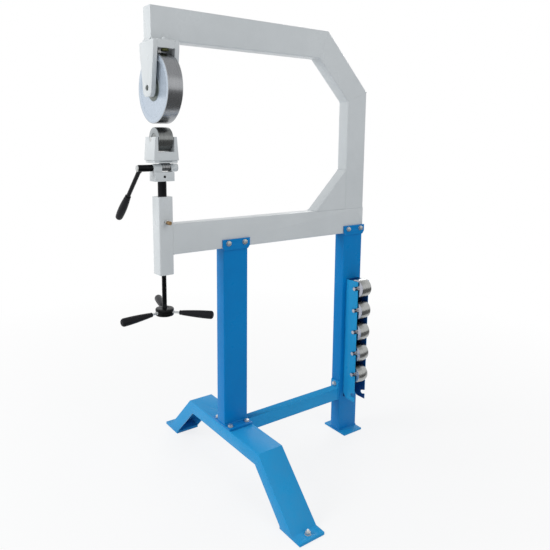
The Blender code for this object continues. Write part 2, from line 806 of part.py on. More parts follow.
def around_hub(bm, index):
    # Turns a shape modelled along +X from the hub to its place in the ring of handles
    turn = math.radians(handle_angle + 360.0 * index / handle_count)
    bmesh.ops.rotate(bm, cent=Vector((0, 0, 0)), matrix=Matrix.Rotation(turn, 3, "Z"), verts=bm.verts)
    bmesh.ops.translate(bm, vec=Vector((0, 0, hub_middle)), verts=bm.verts)
    return bm


for index in range(handle_count):
    label = str(index + 1)
    rod = around_hub(rod_shape("X", axis_centre, handle_rod_radius, rod_start, rod_end, small_sides), index)
    add_piece("handle_rod_" + label, rod, zinc_steel, (0, 0, hub_middle), True)
    profile = grip_profile(handle_grip_start, handle_grip_length, handle_grip_neck, handle_grip_radius)
    grip = add_piece(
        "handle_grip_" + label,
        around_hub(turned_shape(profile, "X", axis_centre, round_sides), index),
        black_grip,
        (0, 0, hub_middle),
        True,
    )
    bore_radius = handle_rod_radius + fit_gap
    bore = around_hub(rod_shape("X", axis_centre, bore_radius, handle_grip_start - overrun, rod_end + fit_gap, small_sides), index)
    cut(grip, bore, "handle_grip_bore_" + label)


def bolt_shape(axis, centre, head_face, direction, grip_length, tail):
    # Hex head outside head_face, shank through grip_length and a nut beyond it; direction points inward
    points = sorted((head_face, head_face - direction * bolt_head_height))
    head = prism_shape(hexagon(bolt_head_width, centre), axis, points[0], points[1])
    shank_start = head_face - direction * bolt_head_height / 2
    ends = sorted((shank_start, head_face + direction * (grip_length + tail)))
    shank = rod_shape(axis, centre, bolt_radius, ends[0], ends[1], small_sides)
    return head, shank


def add_bolt(name, axis, centre, head_face, direction, grip_length, with_nut, mat):
    head, shank = bolt_shape(axis, centre, head_face, direction, grip_length, bolt_nut_height + fit_gap * 4)
    made = add_piece(name, head, mat, place(axis, head_face, centre[0], centre[1]))
    join(made, shank, name + "_shank")
    if with_nut:
        nut_face = head_face + direction * (grip_length + fit_gap)
        ends = sorted((nut_face, nut_face + direction * bolt_nut_height))
        join(made, prism_shape(hexagon(bolt_head_width, centre), axis, ends[0], ends[1]), name + "_nut")
    return made


# Saddles: a seat plate between two ears that hold the lower beam
hole_radius = bolt_radius + fit_gap
ear_inner = half_tube + fit_gap
ear_outer = ear_inner + saddle_thickness
seat_top = lower_bottom - fit_gap
seat_bottom = seat_top - saddle_thickness
ear_top = lower_bottom + saddle_rise
ear_bottom = lower_bottom - saddle_fall
ear_half = tube_depth / 2 + saddle_overhang
saddle_bolt_z = lower_bottom + saddle_bolt_rise
bolt_number = 1
for label, centre_x in (("front", front_column_centre), ("rear", rear_column_centre)):
    ear = [
        (centre_x - ear_half, ear_top),
        (centre_x + ear_half, ear_top),
        (centre_x + ear_half, ear_bottom + saddle_chamfer_z),
        (centre_x + ear_half - saddle_chamfer_x, ear_bottom),
        (centre_x - ear_half + saddle_chamfer_x, ear_bottom),
        (centre_x - ear_half, ear_bottom + saddle_chamfer_z),
    ]
    saddle = add_piece(label + "_saddle", prism_shape(ear, "Y", -ear_outer, -ear_inner), stand_blue, (centre_x, 0, lower_bottom))
    seat_half = tube_depth / 2
    seat = rectangle(centre_x - seat_half, centre_x + seat_half, seat_bottom, seat_top)
    seat_reach = ear_inner + saddle_thickness / 2
    join(saddle, prism_shape(seat, "Y", -seat_reach, seat_reach), label + "_saddle_seat")
    join(saddle, prism_shape(ear, "Y", ear_inner, ear_outer), label + "_saddle_far_ear")
    for side in (-1, 1):
        centre = (centre_x + side * saddle_bolt_spacing / 2, saddle_bolt_z)
        number = str(bolt_number)
        reach = ear_outer + overrun
        cut(saddle, rod_shape("Y", centre, hole_radius, -reach, reach, small_sides), "saddle_hole_" + number)
        cut(lower_beam, rod_shape("Y", centre, hole_radius, -reach, reach, small_sides), "lower_beam_hole_" + number)
        grip = 2 * ear_outer + fit_gap
        add_bolt("saddle_bolt_" + number, "Y", centre, -ear_outer - fit_gap, 1, grip, True, zinc_steel)
        bolt_number += 1


def add_column(name, centre_x, bottom, top, mat):
    half = tube_depth / 2
    outline = rectangle(centre_x - half, centre_x + half, -half_tube, half_tube)
    made = add_piece(name, prism_shape(outline, "Z", bottom, top), mat, (centre_x, 0, bottom))
    inside = rectangle(centre_x - half + tube_wall, centre_x + half - tube_wall, tube_wall - half_tube, half_tube - tube_wall)
    cut(made, prism_shape(inside, "Z", bottom - overrun, top + overrun), name + "_hollow")
    return made


# Front column on its bolted flange
flange_bottom = foot_top + fit_gap
flange_top = flange_bottom + base_flange_thickness
half_foot = foot_width / 2
column_top = seat_bottom - fit_gap
front_column = add_column("front_column", front_column_centre, flange_top + fit_gap, column_top, stand_blue)
flange_outline = rectangle(front_column_centre - half_foot, front_column_centre + half_foot, -base_flange_half_width, base_flange_half_width)
base_flange = add_piece(
    "base_flange",
    prism_shape(flange_outline, "Z", flange_bottom, flange_top),
    stand_blue,
    (front_column_centre, 0, flange_bottom),
)

# Front foot: a folded channel, open underneath, with a pad at each end
foot_fall = foot_top - pad_thickness / 2
foot_turn = math.atan2(foot_fall, foot_reach - foot_toe - foot_flat_half)


def foot_side(inset):
    # Path of the channel's outside, moved inward by the inset
    knee = foot_flat_half - inset * math.tan(foot_turn / 2)
    top = foot_top - inset
    low = pad_thickness / 2
    return knee, top, knee + (top - low) / math.tan(foot_turn), low


def foot_band(outer_inset, inner_inset):
    knee_a, top_a, end_a, low = foot_side(outer_inset)
    knee_b, top_b, end_b, low = foot_side(inner_inset)
    return [
        (-end_a, low),
        (-knee_a, top_a),
        (knee_a, top_a),
        (end_a, low),
        (end_b, low),
        (knee_b, top_b),
        (-knee_b, top_b),
        (-end_b, low),
    ]


foot = add_piece(
    "foot",
    prism_shape(foot_band(0, foot_channel_depth), "X", front_column_centre - half_foot, front_column_centre + half_foot),
    stand_blue,
    (front_column_centre, 0, 0),
)
inner_half = half_foot - foot_wall
foot_hollow = foot_band(foot_wall, foot_channel_depth + overrun)
cut(foot, prism_shape(foot_hollow, "X", front_column_centre - inner_half, front_column_centre + inner_half), "foot_hollow")
pad_inner = foot_reach - pad_length
for label, near, away in (("left", pad_inner, foot_reach), ("right", -foot_reach, -pad_inner)):
    pad = rectangle(near, away, 0, pad_thickness)
    join(foot, prism_shape(pad, "X", front_column_centre - half_foot, front_column_centre + half_foot), "foot_pad_" + label)

for index in range(4):
    side_x = 1 if index % 2 else -1
    side_y = 1 if index > 1 else -1
    centre = (front_column_centre + side_x * flange_bolt_x, side_y * flange_bolt_y)
    label = str(index + 1)
    hole_low = foot_top - foot_wall - overrun
    cut(base_flange, rod_shape("Z", centre, hole_radius, hole_low, flange_top + overrun, small_sides), "base_flange_hole_" + label)
    cut(foot, rod_shape("Z", centre, hole_radius, hole_low, flange_top + overrun, small_sides), "foot_hole_" + label)
    grip = base_flange_thickness + foot_wall + fit_gap * 2
    add_bolt("flange_bolt_" + label, "Z", centre, flange_top + fit_gap, -1, grip, True, zinc_steel)

# Levelling bolt in each pad
for label, side in (("left", 1), ("right", -1)):
    centre = (front_column_centre, side * (foot_reach - pad_bolt_inset))
    hole = rod_shape("Z", centre, hole_radius, -overrun, pad_thickness + overrun, small_sides)
    cut(foot, hole, "foot_pad_hole_" + label)
    shank_top = pad_thickness + pad_bolt_height
    pad_bolt = add_piece(
        "pad_bolt_" + label,
        rod_shape("Z", centre, bolt_radius, fit_gap * 2, shank_top, small_sides),
        zinc_steel,
        (centre[0], centre[1], pad_thickness),
        True,
    )
    nut_low = pad_thickness + fit_gap
    join(pad_bolt, prism_shape(hexagon(bolt_head_width, centre), "Z", nut_low, nut_low + pad_bolt_head), "pad_bolt_nut_" + label)

# Rear column on its base plate
base_top = rear_base_thickness
rear_column = add_column("rear_column", rear_column_centre, base_top + fit_gap, column_top, stand_blue)
half_depth = tube_depth / 2
rear_base = add_piece(
    "rear_base",
    prism_shape(rectangle(rear_column_centre - half_depth, rear_column_centre + half_depth, -rear_base_width / 2, rear_base_width / 2), "Z", 0, base_top),
    stand_blue,
    (rear_column_centre, 0, 0),
)

# Stretcher from the foot to a plate bolted on the rear column
stretcher_front = front_column_centre + half_foot + fit_gap
stretcher_end = throat_depth - fit_gap
stretcher_bottom = foot_top - stretcher_height
half_stretcher = stretcher_width / 2
stretcher = add_piece(
    "stretcher",
    prism_shape(rectangle(-half_stretcher, half_stretcher, stretcher_bottom, foot_top), "X", stretcher_front, stretcher_end - stretcher_plate_thickness / 2),
    stand_blue,
    (stretcher_front, 0, stretcher_bottom),
)
hollow_half = half_stretcher - stretcher_wall
hollow_outline = rectangle(-hollow_half, hollow_half, stretcher_bottom + stretcher_wall, foot_top - stretcher_wall)
hollow_end = stretcher_end - stretcher_plate_thickness
cut(stretcher, prism_shape(hollow_outline, "X", stretcher_front - overrun, hollow_end), "stretcher_hollow")
half_plate = stretcher_plate_width / 2
end_plate = rectangle(-half_plate, half_plate, stretcher_bottom, foot_top + stretcher_plate_rise)
join(stretcher, prism_shape(end_plate, "X", stretcher_end - stretcher_plate_thickness, stretcher_end), "stretcher_end_plate")
plate_bolt_centre = (0, foot_top + stretcher_bolt_rise)
bolt_face = stretcher_end - stretcher_plate_thickness - fit_gap
plate_hole_end = throat_depth + tube_wall + overrun
cut(stretcher, rod_shape("X", plate_bolt_centre, hole_radius, bolt_face - overrun, plate_hole_end, small_sides), "stretcher_hole")
cut(rear_column, rod_shape("X", plate_bolt_centre, hole_radius, bolt_face - overrun, plate_hole_end, small_sides), "rear_column_hole")
plate_grip = stretcher_plate_thickness + tube_wall + fit_gap * 2
add_bolt("stretcher_bolt", "X", plate_bolt_centre, bolt_face, 1, plate_grip, True, zinc_steel)

# Anvil rack: a web on the rear column and two slotted flanges
rack_length = rack_first_slot + rack_slot_pitch * (rack_slot_count - 1) + rack_head
rack_bottom = base_top + (ear_bottom - base_top - rack_length) * rack_place
rack_top = rack_bottom + rack_length
rack_edge = rack_face - rack_depth
web_half = rack_half_width - rack_sheet - fit_gap
web_outline = rectangle(rear_column_centre - web_half, rear_column_centre + web_half, rack_face - rack_sheet, rack_face)
rack_web = add_piece("rack_web", prism_shape(web_outline, "Z", rack_bottom, rack_top), rack_blue, (rear_column_centre, rack_face, rack_bottom))
slot_y = rack_edge + rack_slot_inset
slot_turn = math.radians(rack_slot_slope)
slot_reach = rack_slot_inset * 3
slot_radius = anvil_axle_radius + fit_gap


def slot_outline(centre_z):
    # Half-round seat, open outward and upward
    points = []
    for index in range(small_sides // 2 + 1):
        turn = -slot_turn - math.pi / 2 + math.tau * index / small_sides
        points.append((slot_y + slot_radius * math.cos(turn), centre_z + slot_radius * math.sin(turn)))
    run = (-slot_reach * math.cos(slot_turn), slot_reach * math.sin(slot_turn))
    points.append((points[-1][0] + run[0], points[-1][1] + run[1]))
    points.append((points[0][0] + run[0], points[0][1] + run[1]))
    return points


flange_outline = [
    (rack_face, rack_bottom + rack_foot_chamfer),
    (rack_face, rack_top),
    (rack_edge, rack_top),
    (rack_edge, rack_bottom),
    (rack_face - rack_foot_chamfer, rack_bottom),
]
for label, side in (("front", -1), ("rear", 1)):
    outer = rear_column_centre + side * rack_half_width
    inner = outer - side * rack_sheet
    ends = sorted((inner, outer))
    flange = add_piece("rack_flange_" + label, prism_shape(flange_outline, "X", ends[0], ends[1]), rack_blue, (outer, rack_face, rack_bottom))
    for index in range(rack_slot_count):
        slot_z = rack_bottom + rack_first_slot + rack_slot_pitch * index
        slot = prism_shape(slot_outline(slot_z), "X", ends[0] - overrun, ends[1] + overrun)
        cut(flange, slot, "rack_slot_" + label + "_" + str(index + 1))

# Spare anvils, the top one first; the lowest seat stays empty
for index, crown in enumerate(spare_crowns):
    slot_z = rack_bottom + rack_first_slot + rack_slot_pitch * (rack_slot_count - 1 - index)
    profile = crown_profile(rear_column_centre, crown, anvil_axle_stub)
    add_piece(
        "spare_anvil_" + str(index + 1),
        turned_shape(profile, "X", (slot_y, slot_z), spare_sides),
        polished_steel,
        (rear_column_centre, slot_y, slot_z),
        True,
    )

# The model's origin is on the floor, under the middle of its length
bpy.context.view_layer.update()
graph = bpy.context.evaluated_depsgraph_get()
reach = []
for item in bpy.context.scene.objects:
    if item.type == "MESH" and not item.hide_render:
        shape = item.evaluated_get(graph)
        reach += [(item.matrix_world @ vertex.co).x for vertex in shape.data.vertices]
machine.location = (-(min(reach) + max(reach)) / 2, 0, 0)
bpy.context.view_layer.update()
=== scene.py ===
import math

import bmesh
import bpy
from mathutils import Matrix, Vector


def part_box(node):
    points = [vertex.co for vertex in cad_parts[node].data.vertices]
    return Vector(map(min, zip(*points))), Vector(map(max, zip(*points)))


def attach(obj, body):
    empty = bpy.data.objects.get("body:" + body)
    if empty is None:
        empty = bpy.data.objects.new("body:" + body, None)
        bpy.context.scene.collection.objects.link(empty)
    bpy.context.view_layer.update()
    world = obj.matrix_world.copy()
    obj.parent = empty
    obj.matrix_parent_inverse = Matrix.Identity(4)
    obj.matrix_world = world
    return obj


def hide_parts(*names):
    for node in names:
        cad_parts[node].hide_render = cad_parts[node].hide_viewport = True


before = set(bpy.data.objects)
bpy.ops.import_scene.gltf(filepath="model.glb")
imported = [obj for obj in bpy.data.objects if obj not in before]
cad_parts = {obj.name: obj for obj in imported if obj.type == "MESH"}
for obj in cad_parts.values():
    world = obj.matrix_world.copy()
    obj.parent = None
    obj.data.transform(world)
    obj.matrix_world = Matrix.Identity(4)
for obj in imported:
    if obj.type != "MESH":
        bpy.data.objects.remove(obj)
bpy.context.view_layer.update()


# Camera, set where the object was seen from: a little above the anvil, in front of the wheels
# and to the side that carries the rack. The shift keeps the object's place in the square frame.
lens = bpy.data.cameras.new("view")
lens.lens = 36.318
lens.sensor_width = 36.0
lens.shift_x = 0.0481
lens.shift_y = -0.0860
lens.clip_end = 60.0
view = bpy.data.objects.new("view", lens)
bpy.context.scene.collection.objects.link(view)
right = Vector((0.82286759, -0.56822606, 0.00284168))
up = Vector((0.08556103, 0.12884463, 0.98796679))
back = Vector((-0.56175461, -0.81272271, 0.15464008))
turn = Matrix((right, up, back)).transposed().to_4x4()
seen_from = (-1.16052, -1.6386, 1.2430)
view.matrix_world = Matrix.Translation(seen_from) @ turn
bpy.context.scene.camera = view
bpy.context.scene.view_settings.view_transform = "Standard"


# Floor and studio: a wide pale floor in a white room, a large soft lamp on the wheels' side,
# a broad weak one over the camera, and a smaller one behind that lights the far edges.
class Value:
    """A socket of a finish, on which sums are written as plain Python."""

    def __init__(self, tree, socket):
        self.tree = tree
        self.socket = socket

    def node(self, kind, sockets, settings=None, output=0):
        made = self.tree.nodes.new("ShaderNode" + kind)
        for key, setting in (settings or {}).items():
            setattr(made, key, setting)
        for key, source in sockets.items():
            if isinstance(source, Value):
                self.tree.links.new(source.socket, made.inputs[key])
            else:
                made.inputs[key].default_value = source
        return Value(self.tree, made.outputs[output])

    def math(self, operation, first, second=0.0):
        return self.node("Math", {0: first, 1: second}, {"operation": operation})

    def __add__(self, other):
        return self.math("ADD", self, other)

    def __sub__(self, other):
        return self.math("SUBTRACT", self, other)

    def __rsub__(self, other):
        return self.math("SUBTRACT", other, self)

    def __mul__(self, other):
        return self.math("MULTIPLY", self, other)

    def __pow__(self, other):
        return self.math("POWER", self, other)

    def __abs__(self):
        return self.math("ABSOLUTE", self)

    __radd__ = __add__
    __rmul__ = __mul__

    def clamp(self, low, high):
        return self.node("MapRange", {"Value": self, "From Min": low, "From Max": high})

    def noise(self, scale, detail=2.0, roughness=0.5):
        return self.node("TexNoise", {"Vector": self, "Scale": scale, "Detail": detail, "Roughness": roughness})

    def between(self, low, high):
        # A colour from low to high; each is three numbers or a colour that is already a socket
        ends = [shade if isinstance(shade, Value) else (*shade, 1.0) for shade in (low, high)]
        return self.node("Mix", {6: ends[0], 7: ends[1], 0: self}, {"data_type": "RGBA"}, 2)


def studio_mix(tree, plain, white):
    # Shows white to the camera and in gloss, and lights the object at the plain level
    start = Value(tree, plain)
    camera = start.node("LightPath", {}, output="Is Camera Ray")
    glossy = start.node("LightPath", {}, output="Is Glossy Ray")
    through = start.node("LightPath", {}, output="Is Transmission Ray")
    return start.node("MixShader", {0: (camera + glossy + through).clamp(0.0, 1.0) * white[0], 1: start, 2: white[1]})


world = bpy.data.worlds.new("studio")
bpy.context.scene.world = world
world.use_nodes = True
sky = world.node_tree
sky.nodes["Background"].inputs["Color"].default_value = (0.95, 0.97, 1.0, 1.0)
sky.nodes["Background"].inputs["Strength"].default_value = 0.50
bright = sky.nodes.new("ShaderNodeBackground")
bright.inputs["Color"].default_value = (1.0, 1.0, 1.0, 1.0)
mixed = studio_mix(sky, sky.nodes["Background"].outputs[0], (1.0, Value(sky, bright.outputs[0])))
sky.links.new(mixed.socket, sky.nodes["World Output"].inputs["Surface"])

bpy.ops.object.select_all(action="DESELECT")
bpy.ops.mesh.primitive_plane_add(size=30.0)
floor = bpy.context.object
floor.name = "studio_floor"
floor_finish = bpy.data.materials.new("studio_floor")
floor_finish.use_nodes = True
boards = floor_finish.node_tree
paper = boards.nodes["Principled BSDF"]
paper.inputs["Base Color"].default_value = (0.84, 0.85, 0.86, 1.0)
paper.inputs["Roughness"].default_value = 0.85
paper.inputs["Specular IOR Level"].default_value = 0.1
glow = boards.nodes.new("ShaderNodeEmission")
glow.inputs["Color"].default_value = (1.0, 1.0, 1.0, 1.0)
ground = Value(boards, boards.nodes.new("ShaderNodeTexCoord").outputs["Object"])
away = ground.node("VectorMath", {0: ground}, {"operation": "LENGTH"}, "Value").clamp(0.7, 2.6)
mixed = studio_mix(boards, paper.outputs[0], (away * 0.18 + 0.82, Value(boards, glow.outputs[0])))
boards.links.new(mixed.socket, boards.nodes["Material Output"].inputs["Surface"])
floor.data.materials.append(floor_finish)

# Two cards seen only in reflections: a broad dim one low in front and a grey one overhead
for name, place, size, level in (
    ("low_card", (3.4, -6.9, 0.004), 13.0, 0.17),
    ("overhead_card", (0.8, -1.0, 3.4), 4.6, 0.62),
):
    bpy.ops.mesh.primitive_plane_add(size=size, location=place)
    card = bpy.context.object
    card.name = name
    card.visible_camera = False
    card.visible_diffuse = False
    card.visible_transmission = False
    card.visible_shadow = False
    cloth = bpy.data.materials.new(name)
    cloth.use_nodes = True
    shine = cloth.node_tree.nodes.new("ShaderNodeEmission")
    shine.inputs["Strength"].default_value = level
    cloth.node_tree.links.new(shine.outputs[0], cloth.node_tree.nodes["Material Output"].inputs["Surface"])
    card.data.materials.append(cloth)

for name, place, aim, size, power in (
    ("wheel_side_lamp", (-3.4, 0.9, 2.6), (0.0, 0.0, 0.9), 2.2, 78.0),
    ("camera_lamp", (0.6, -4.2, 3.4), (0.0, 0.0, 0.8), 2.6, 47.0),
    ("rear_lamp", (3.2, 2.4, 2.8), (0.0, 0.0, 0.9), 1.6, 26.0),
):
    lamp_data = bpy.data.lights.new(name, "AREA")
    lamp_data.size = size
    lamp_data.energy = power
    lamp = bpy.data.objects.new(name, lamp_data)
    lamp.location = place
    lamp.rotation_euler = (Vector(aim) - Vector(place)).to_track_quat("-Z", "Y").to_euler()
    lamp.visible_glossy = name == "rear_lamp"
    bpy.context.scene.collection.objects.link(lamp)


# C-frame: rectangular steel tube, mitred or butted and welded all round, then sprayed light grey.
# The tube's long edges are rolled to a small radius, and the beam's nose is capped flush.
def finish(name, surface, **fixed):
    # A finish from a function of the place on the object, and the values that stay the same
    made = bpy.data.materials.new(name)
    made.use_nodes = True
    tree = made.node_tree
    shader = tree.nodes["Principled BSDF"]
    for key, value in fixed.items():
        shader.inputs[key.replace("_", " ")].default_value = value
    place = Value(tree, tree.nodes.new("ShaderNodeTexCoord").outputs["Object"])
    for key, source in surface(place).items():
        tree.links.new(source.socket, shader.inputs[key])
    return made


def enamel(colour, shade, dust, peel=0.06):
    # Sprayed gloss paint: slow drift of tone, fine orange peel, a few nibs in the coat, and a
    # little workshop dust that thins with height
    def surface(place):
        drift = place.noise(2.4, 3.0).clamp(0.36, 0.66)
        mottle = place.noise(17.0, 4.0, 0.55).clamp(0.34, 0.68)
        nib = place.noise(310.0, 2.0).clamp(0.68, 0.80)
        height = place.node("SeparateXYZ", {0: place}, output="Z")
        settled = (1.0 - height.clamp(0.0, 0.30)) * mottle * 0.16
        painted = (drift * 0.6 + mottle * 0.4).between(colour, shade)
        dusty = (settled + nib * 0.14).between(painted, dust)
        grain = place.noise(520.0, 2.0) * 0.7 + place.noise(90.0, 2.0) * 0.6 + nib * 0.5
        relief = place.node("Bump", {"Strength": peel, "Distance": 0.0006, "Height": grain})
        return {"Base Color": dusty, "Roughness": 0.24 + drift * 0.08 + mottle * 0.08 + settled, "Normal": relief}

    return surface


frame_grey = (0.66, 0.69, 0.70)
frame_shade = (0.61, 0.64, 0.65)
frame_dust = (0.52, 0.51, 0.48)
frame_paint = finish("frame_paint", enamel(frame_grey, frame_shade, frame_dust), Specular_IOR_Level=0.40)
tube_edge = 0.0045


def dress(piece, material, body, slot, *nodes):
    # The last step of a piece: its finish, the body that it moves with and what it stands for
    piece.data.materials.clear()
    piece.data.materials.append(material)
    if nodes:
        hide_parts(*nodes)
    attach(piece, body)
    return piece


def copy_of(node, name):
    # A loose copy of a solid, merged, with each flat face made one again
    bpy.ops.object.select_all(action="DESELECT")
    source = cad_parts[node]
    source.select_set(True)
    bpy.context.view_layer.objects.active = source
    bpy.ops.object.duplicate()
    piece = bpy.context.object
    for key in list(piece.keys()):
        del piece[key]
    piece.parent = None
    piece.name = name
    bpy.ops.object.mode_set(mode="EDIT")
    bpy.ops.mesh.select_all(action="SELECT")
    bpy.ops.mesh.remove_doubles(threshold=0.00002)
    bpy.ops.mesh.dissolve_limited(angle_limit=math.radians(1.0))
    bpy.ops.object.mode_set(mode="OBJECT")
    return piece


def round_edges(piece, radius, along=None, segments=4):
    # Rolls the outer edges that run along a direction, or eases every sharp edge
    if along is None:
        edge = piece.modifiers.new("edge", "BEVEL")
        edge.width = radius
        edge.segments = segments
        edge.limit_method = "ANGLE"
        edge.angle_limit = math.radians(38.0)
        edge.use_clamp_overlap = True
        bpy.context.view_layer.objects.active = piece
        bpy.ops.object.modifier_apply(modifier="edge")
        bpy.ops.object.shade_smooth_by_angle(angle=math.radians(32.0))
        return piece
    bpy.ops.object.mode_set(mode="EDIT")
    bpy.ops.mesh.select_mode(type="EDGE")
    bpy.ops.mesh.select_all(action="DESELECT")
    shape = bmesh.from_edit_mesh(piece.data)
    for edge in shape.edges:
        run = edge.verts[1].co - edge.verts[0].co
        parallel = abs(run.normalized().dot(along)) > 0.999
        if parallel and edge.is_convex and edge.calc_face_angle(0.0) > math.radians(60.0) and run.length > 0.03:
            edge.select_set(True)
    bmesh.update_edit_mesh(piece.data)
    bpy.ops.mesh.bevel(offset=radius, offset_type="OFFSET", segments=segments, affect="EDGES")
    bpy.ops.object.mode_set(mode="OBJECT")
    bpy.ops.object.shade_smooth_by_angle(angle=math.radians(32.0))
    return piece


slant = Vector((1.0, 0.0, -1.0)).normalized()
for node, along in (
    ("upper_beam", Vector((1.0, 0.0, 0.0))),
    ("corner_tube", slant),
    ("rear_upright", Vector((0.0, 0.0, 1.0))),
    ("lower_beam", Vector((1.0, 0.0, 0.0))),
):
    tube = round_edges(copy_of(node, "frame_" + node), tube_edge, along, 5)
    dress(tube, frame_paint, "stand", "frame_paint", node)
gusset = round_edges(copy_of("gusset", "frame_gusset"), tube_edge, Vector((1.0, 0.0, 1.0)).normalized(), 4)
dress(gusset, frame_paint, "stand", "frame_paint", "gusset")


# Welds: a bead runs round each joint of the frame, dressed almost flush on the faces and left
# proud in the inner corners. They are painted over with the frame.
def weld(name, points, radius, closed, material, slot):
    # A bead of weld along a line of points, with the small waves that its pools leave
    path = bpy.data.curves.new(name, "CURVE")
    path.dimensions = "3D"
    path.bevel_depth = radius
    path.bevel_resolution = 3
    path.use_fill_caps = True
    line = path.splines.new("POLY")
    stops = []
    ring = list(points) + ([points[0]] if closed else [])
    for start, end in zip(ring, ring[1:]):
        run = Vector(end) - Vector(start)
        steps = max(2, int(run.length / (radius * 0.8)))
        stops += [Vector(start) + run * (step / steps) for step in range(steps)]
    if not closed:
        stops.append(Vector(points[-1]))
    line.points.add(len(stops) - 1)
    for index, (point, stop) in enumerate(zip(line.points, stops)):
        point.co = (*stop, 1.0)
        point.radius = 1.0 + 0.10 * math.sin(index * 2.4)
    line.use_cyclic_u = closed
    bead = bpy.data.objects.new(name, path)
    bpy.context.scene.collection.objects.link(bead)
    bpy.ops.object.select_all(action="DESELECT")
    bead.select_set(True)
    bpy.context.view_layer.objects.active = bead
    bpy.ops.object.convert(target="MESH")
    bead = bpy.context.object
    bpy.ops.object.shade_smooth()
    return dress(bead, material, "stand", slot)


def loop_xz(low, high, half, sink):
    # Four corners round a joint between two points of the mid-plane, drawn in below the surface
    run = (Vector(high) - Vector(low)).normalized() * sink
    inner, outer = Vector(low) + run, Vector(high) - run
    side = Vector((0.0, half - sink, 0.0))
    return [inner - side, outer - side, outer + side, inner + side]


beam_low, beam_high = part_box("upper_beam")
rear_low, rear_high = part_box("rear_upright")
lower_low, lower_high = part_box("lower_beam")
corner_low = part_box("corner_tube")[0]
half_tube = beam_high.y
ground_flush = 0.0012
top_mitre = ((corner_low.x, 0.0, beam_low.z), (beam_high.x, 0.0, beam_high.z - ground_flush))
rear_mitre = ((rear_low.x, 0.0, corner_low.z), (rear_high.x, 0.0, rear_high.z))
foot_joint = ((rear_low.x, 0.0, rear_low.z), (rear_high.x, 0.0, rear_low.z))
ram_joint = ((lower_low.x, 0.0, lower_low.z), (lower_low.x, 0.0, lower_high.z))
for name, (low, high), sink in (
    ("weld_top_mitre", top_mitre, 0.0022),
    ("weld_rear_mitre", rear_mitre, 0.0022),
    ("weld_upright_foot", foot_joint, 0.0020),
    ("weld_ram_housing", ram_joint, 0.0018),
):
    weld(name, loop_xz(low, high, half_tube, sink), 0.0028, True, frame_paint, "frame_paint")
gusset_low, gusset_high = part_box("gusset")
for name, x, z in (
    ("weld_gusset_front", gusset_low.x, gusset_low.z),
    ("weld_gusset_top", gusset_high.x, gusset_high.z),
):
    ends = [(x, -half_tube + tube_edge, z), (x, half_tube - tube_edge, z)]
    weld(name, ends, 0.0026, False, frame_paint, "frame_paint")
for side in (-1, 1):
    edge = side * (half_tube - 0.0012)
    points = [
        (gusset_low.x, edge, gusset_low.z),
        (gusset_high.x, edge, gusset_low.z),
        (gusset_high.x, edge, gusset_high.z),
    ]
    name = "weld_gusset_side_" + ("near" if side < 0 else "far")
    weld(name, points, 0.0018, False, frame_paint, "frame_paint")


# Fork: a milled plate between two tapered cheeks, welded under the beam's nose with a heavy
# fillet on each side, and drawn up by two dark plated bolts with washers.
def ease_shoulders(piece, radius, outer_x=None):
    # Rounds the top edges that face away from the beam: along X at both ends, along Y outside
    near_enough = 0.0002
    high = max(corner.co.z for corner in piece.data.vertices)
    reach = max(abs(corner.co.y) for corner in piece.data.vertices)
    bpy.ops.object.mode_set(mode="EDIT")
    bpy.ops.mesh.select_mode(type="EDGE")
    bpy.ops.mesh.select_all(action="DESELECT")
    shape = bmesh.from_edit_mesh(piece.data)
    for edge in shape.edges:
        on_top = all(abs(corner.co.z - high) < near_enough for corner in edge.verts)
        at_end = all(abs(abs(corner.co.y) - reach) < near_enough for corner in edge.verts)
        outside = outer_x is not None and all(abs(corner.co.x - outer_x) < near_enough for corner in edge.verts)
        if on_top and edge.calc_length() > 0.01 and (at_end or outside):
            edge.select_set(True)
    bmesh.update_edit_mesh(piece.data)
    bpy.ops.mesh.bevel(offset=radius, offset_type="OFFSET", segments=5, affect="EDGES")
    bpy.ops.object.mode_set(mode="OBJECT")
    return piece


shoulder = 0.0060
plate = ease_shoulders(copy_of("fork_plate", "fork_top_plate"), shoulder)
dress(round_edges(plate, 0.0012), frame_paint, "stand", "frame_paint", "fork_plate")
for node, outside in (("fork_cheek_front", 0), ("fork_cheek_rear", 1)):
    cheek = ease_shoulders(copy_of(node, "painted_" + node), shoulder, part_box(node)[outside].x)
    dress(round_edges(cheek, 0.0018), frame_paint, "stand", "frame_paint", node)
front_low, front_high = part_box("fork_cheek_front")
back_low, back_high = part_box("fork_cheek_rear")
for side in (-1, 1):
    near_or_far = "near" if side < 0 else "far"
    points = [(beam_low.x, side * half_tube, beam_low.z), (back_high.x, side * half_tube, beam_low.z)]
    weld("weld_fork_" + near_or_far, points, 0.0060, False, frame_paint, "frame_paint")
    seam_y = side * (front_high.y - 0.0009)
    for x, label in ((front_high.x, "front"), (back_low.x, "rear")):
        points = [(x, seam_y, front_high.z - shoulder), (x, seam_y, front_high.z - 0.025)]
        weld("weld_cheek_" + label + "_" + near_or_far, points, 0.0017, False, frame_paint, "frame_paint")
points = [(beam_low.x, -half_tube, beam_low.z), (beam_low.x, half_tube, beam_low.z)]
weld("weld_fork_nose", points, 0.0045, False, frame_paint, "frame_paint")


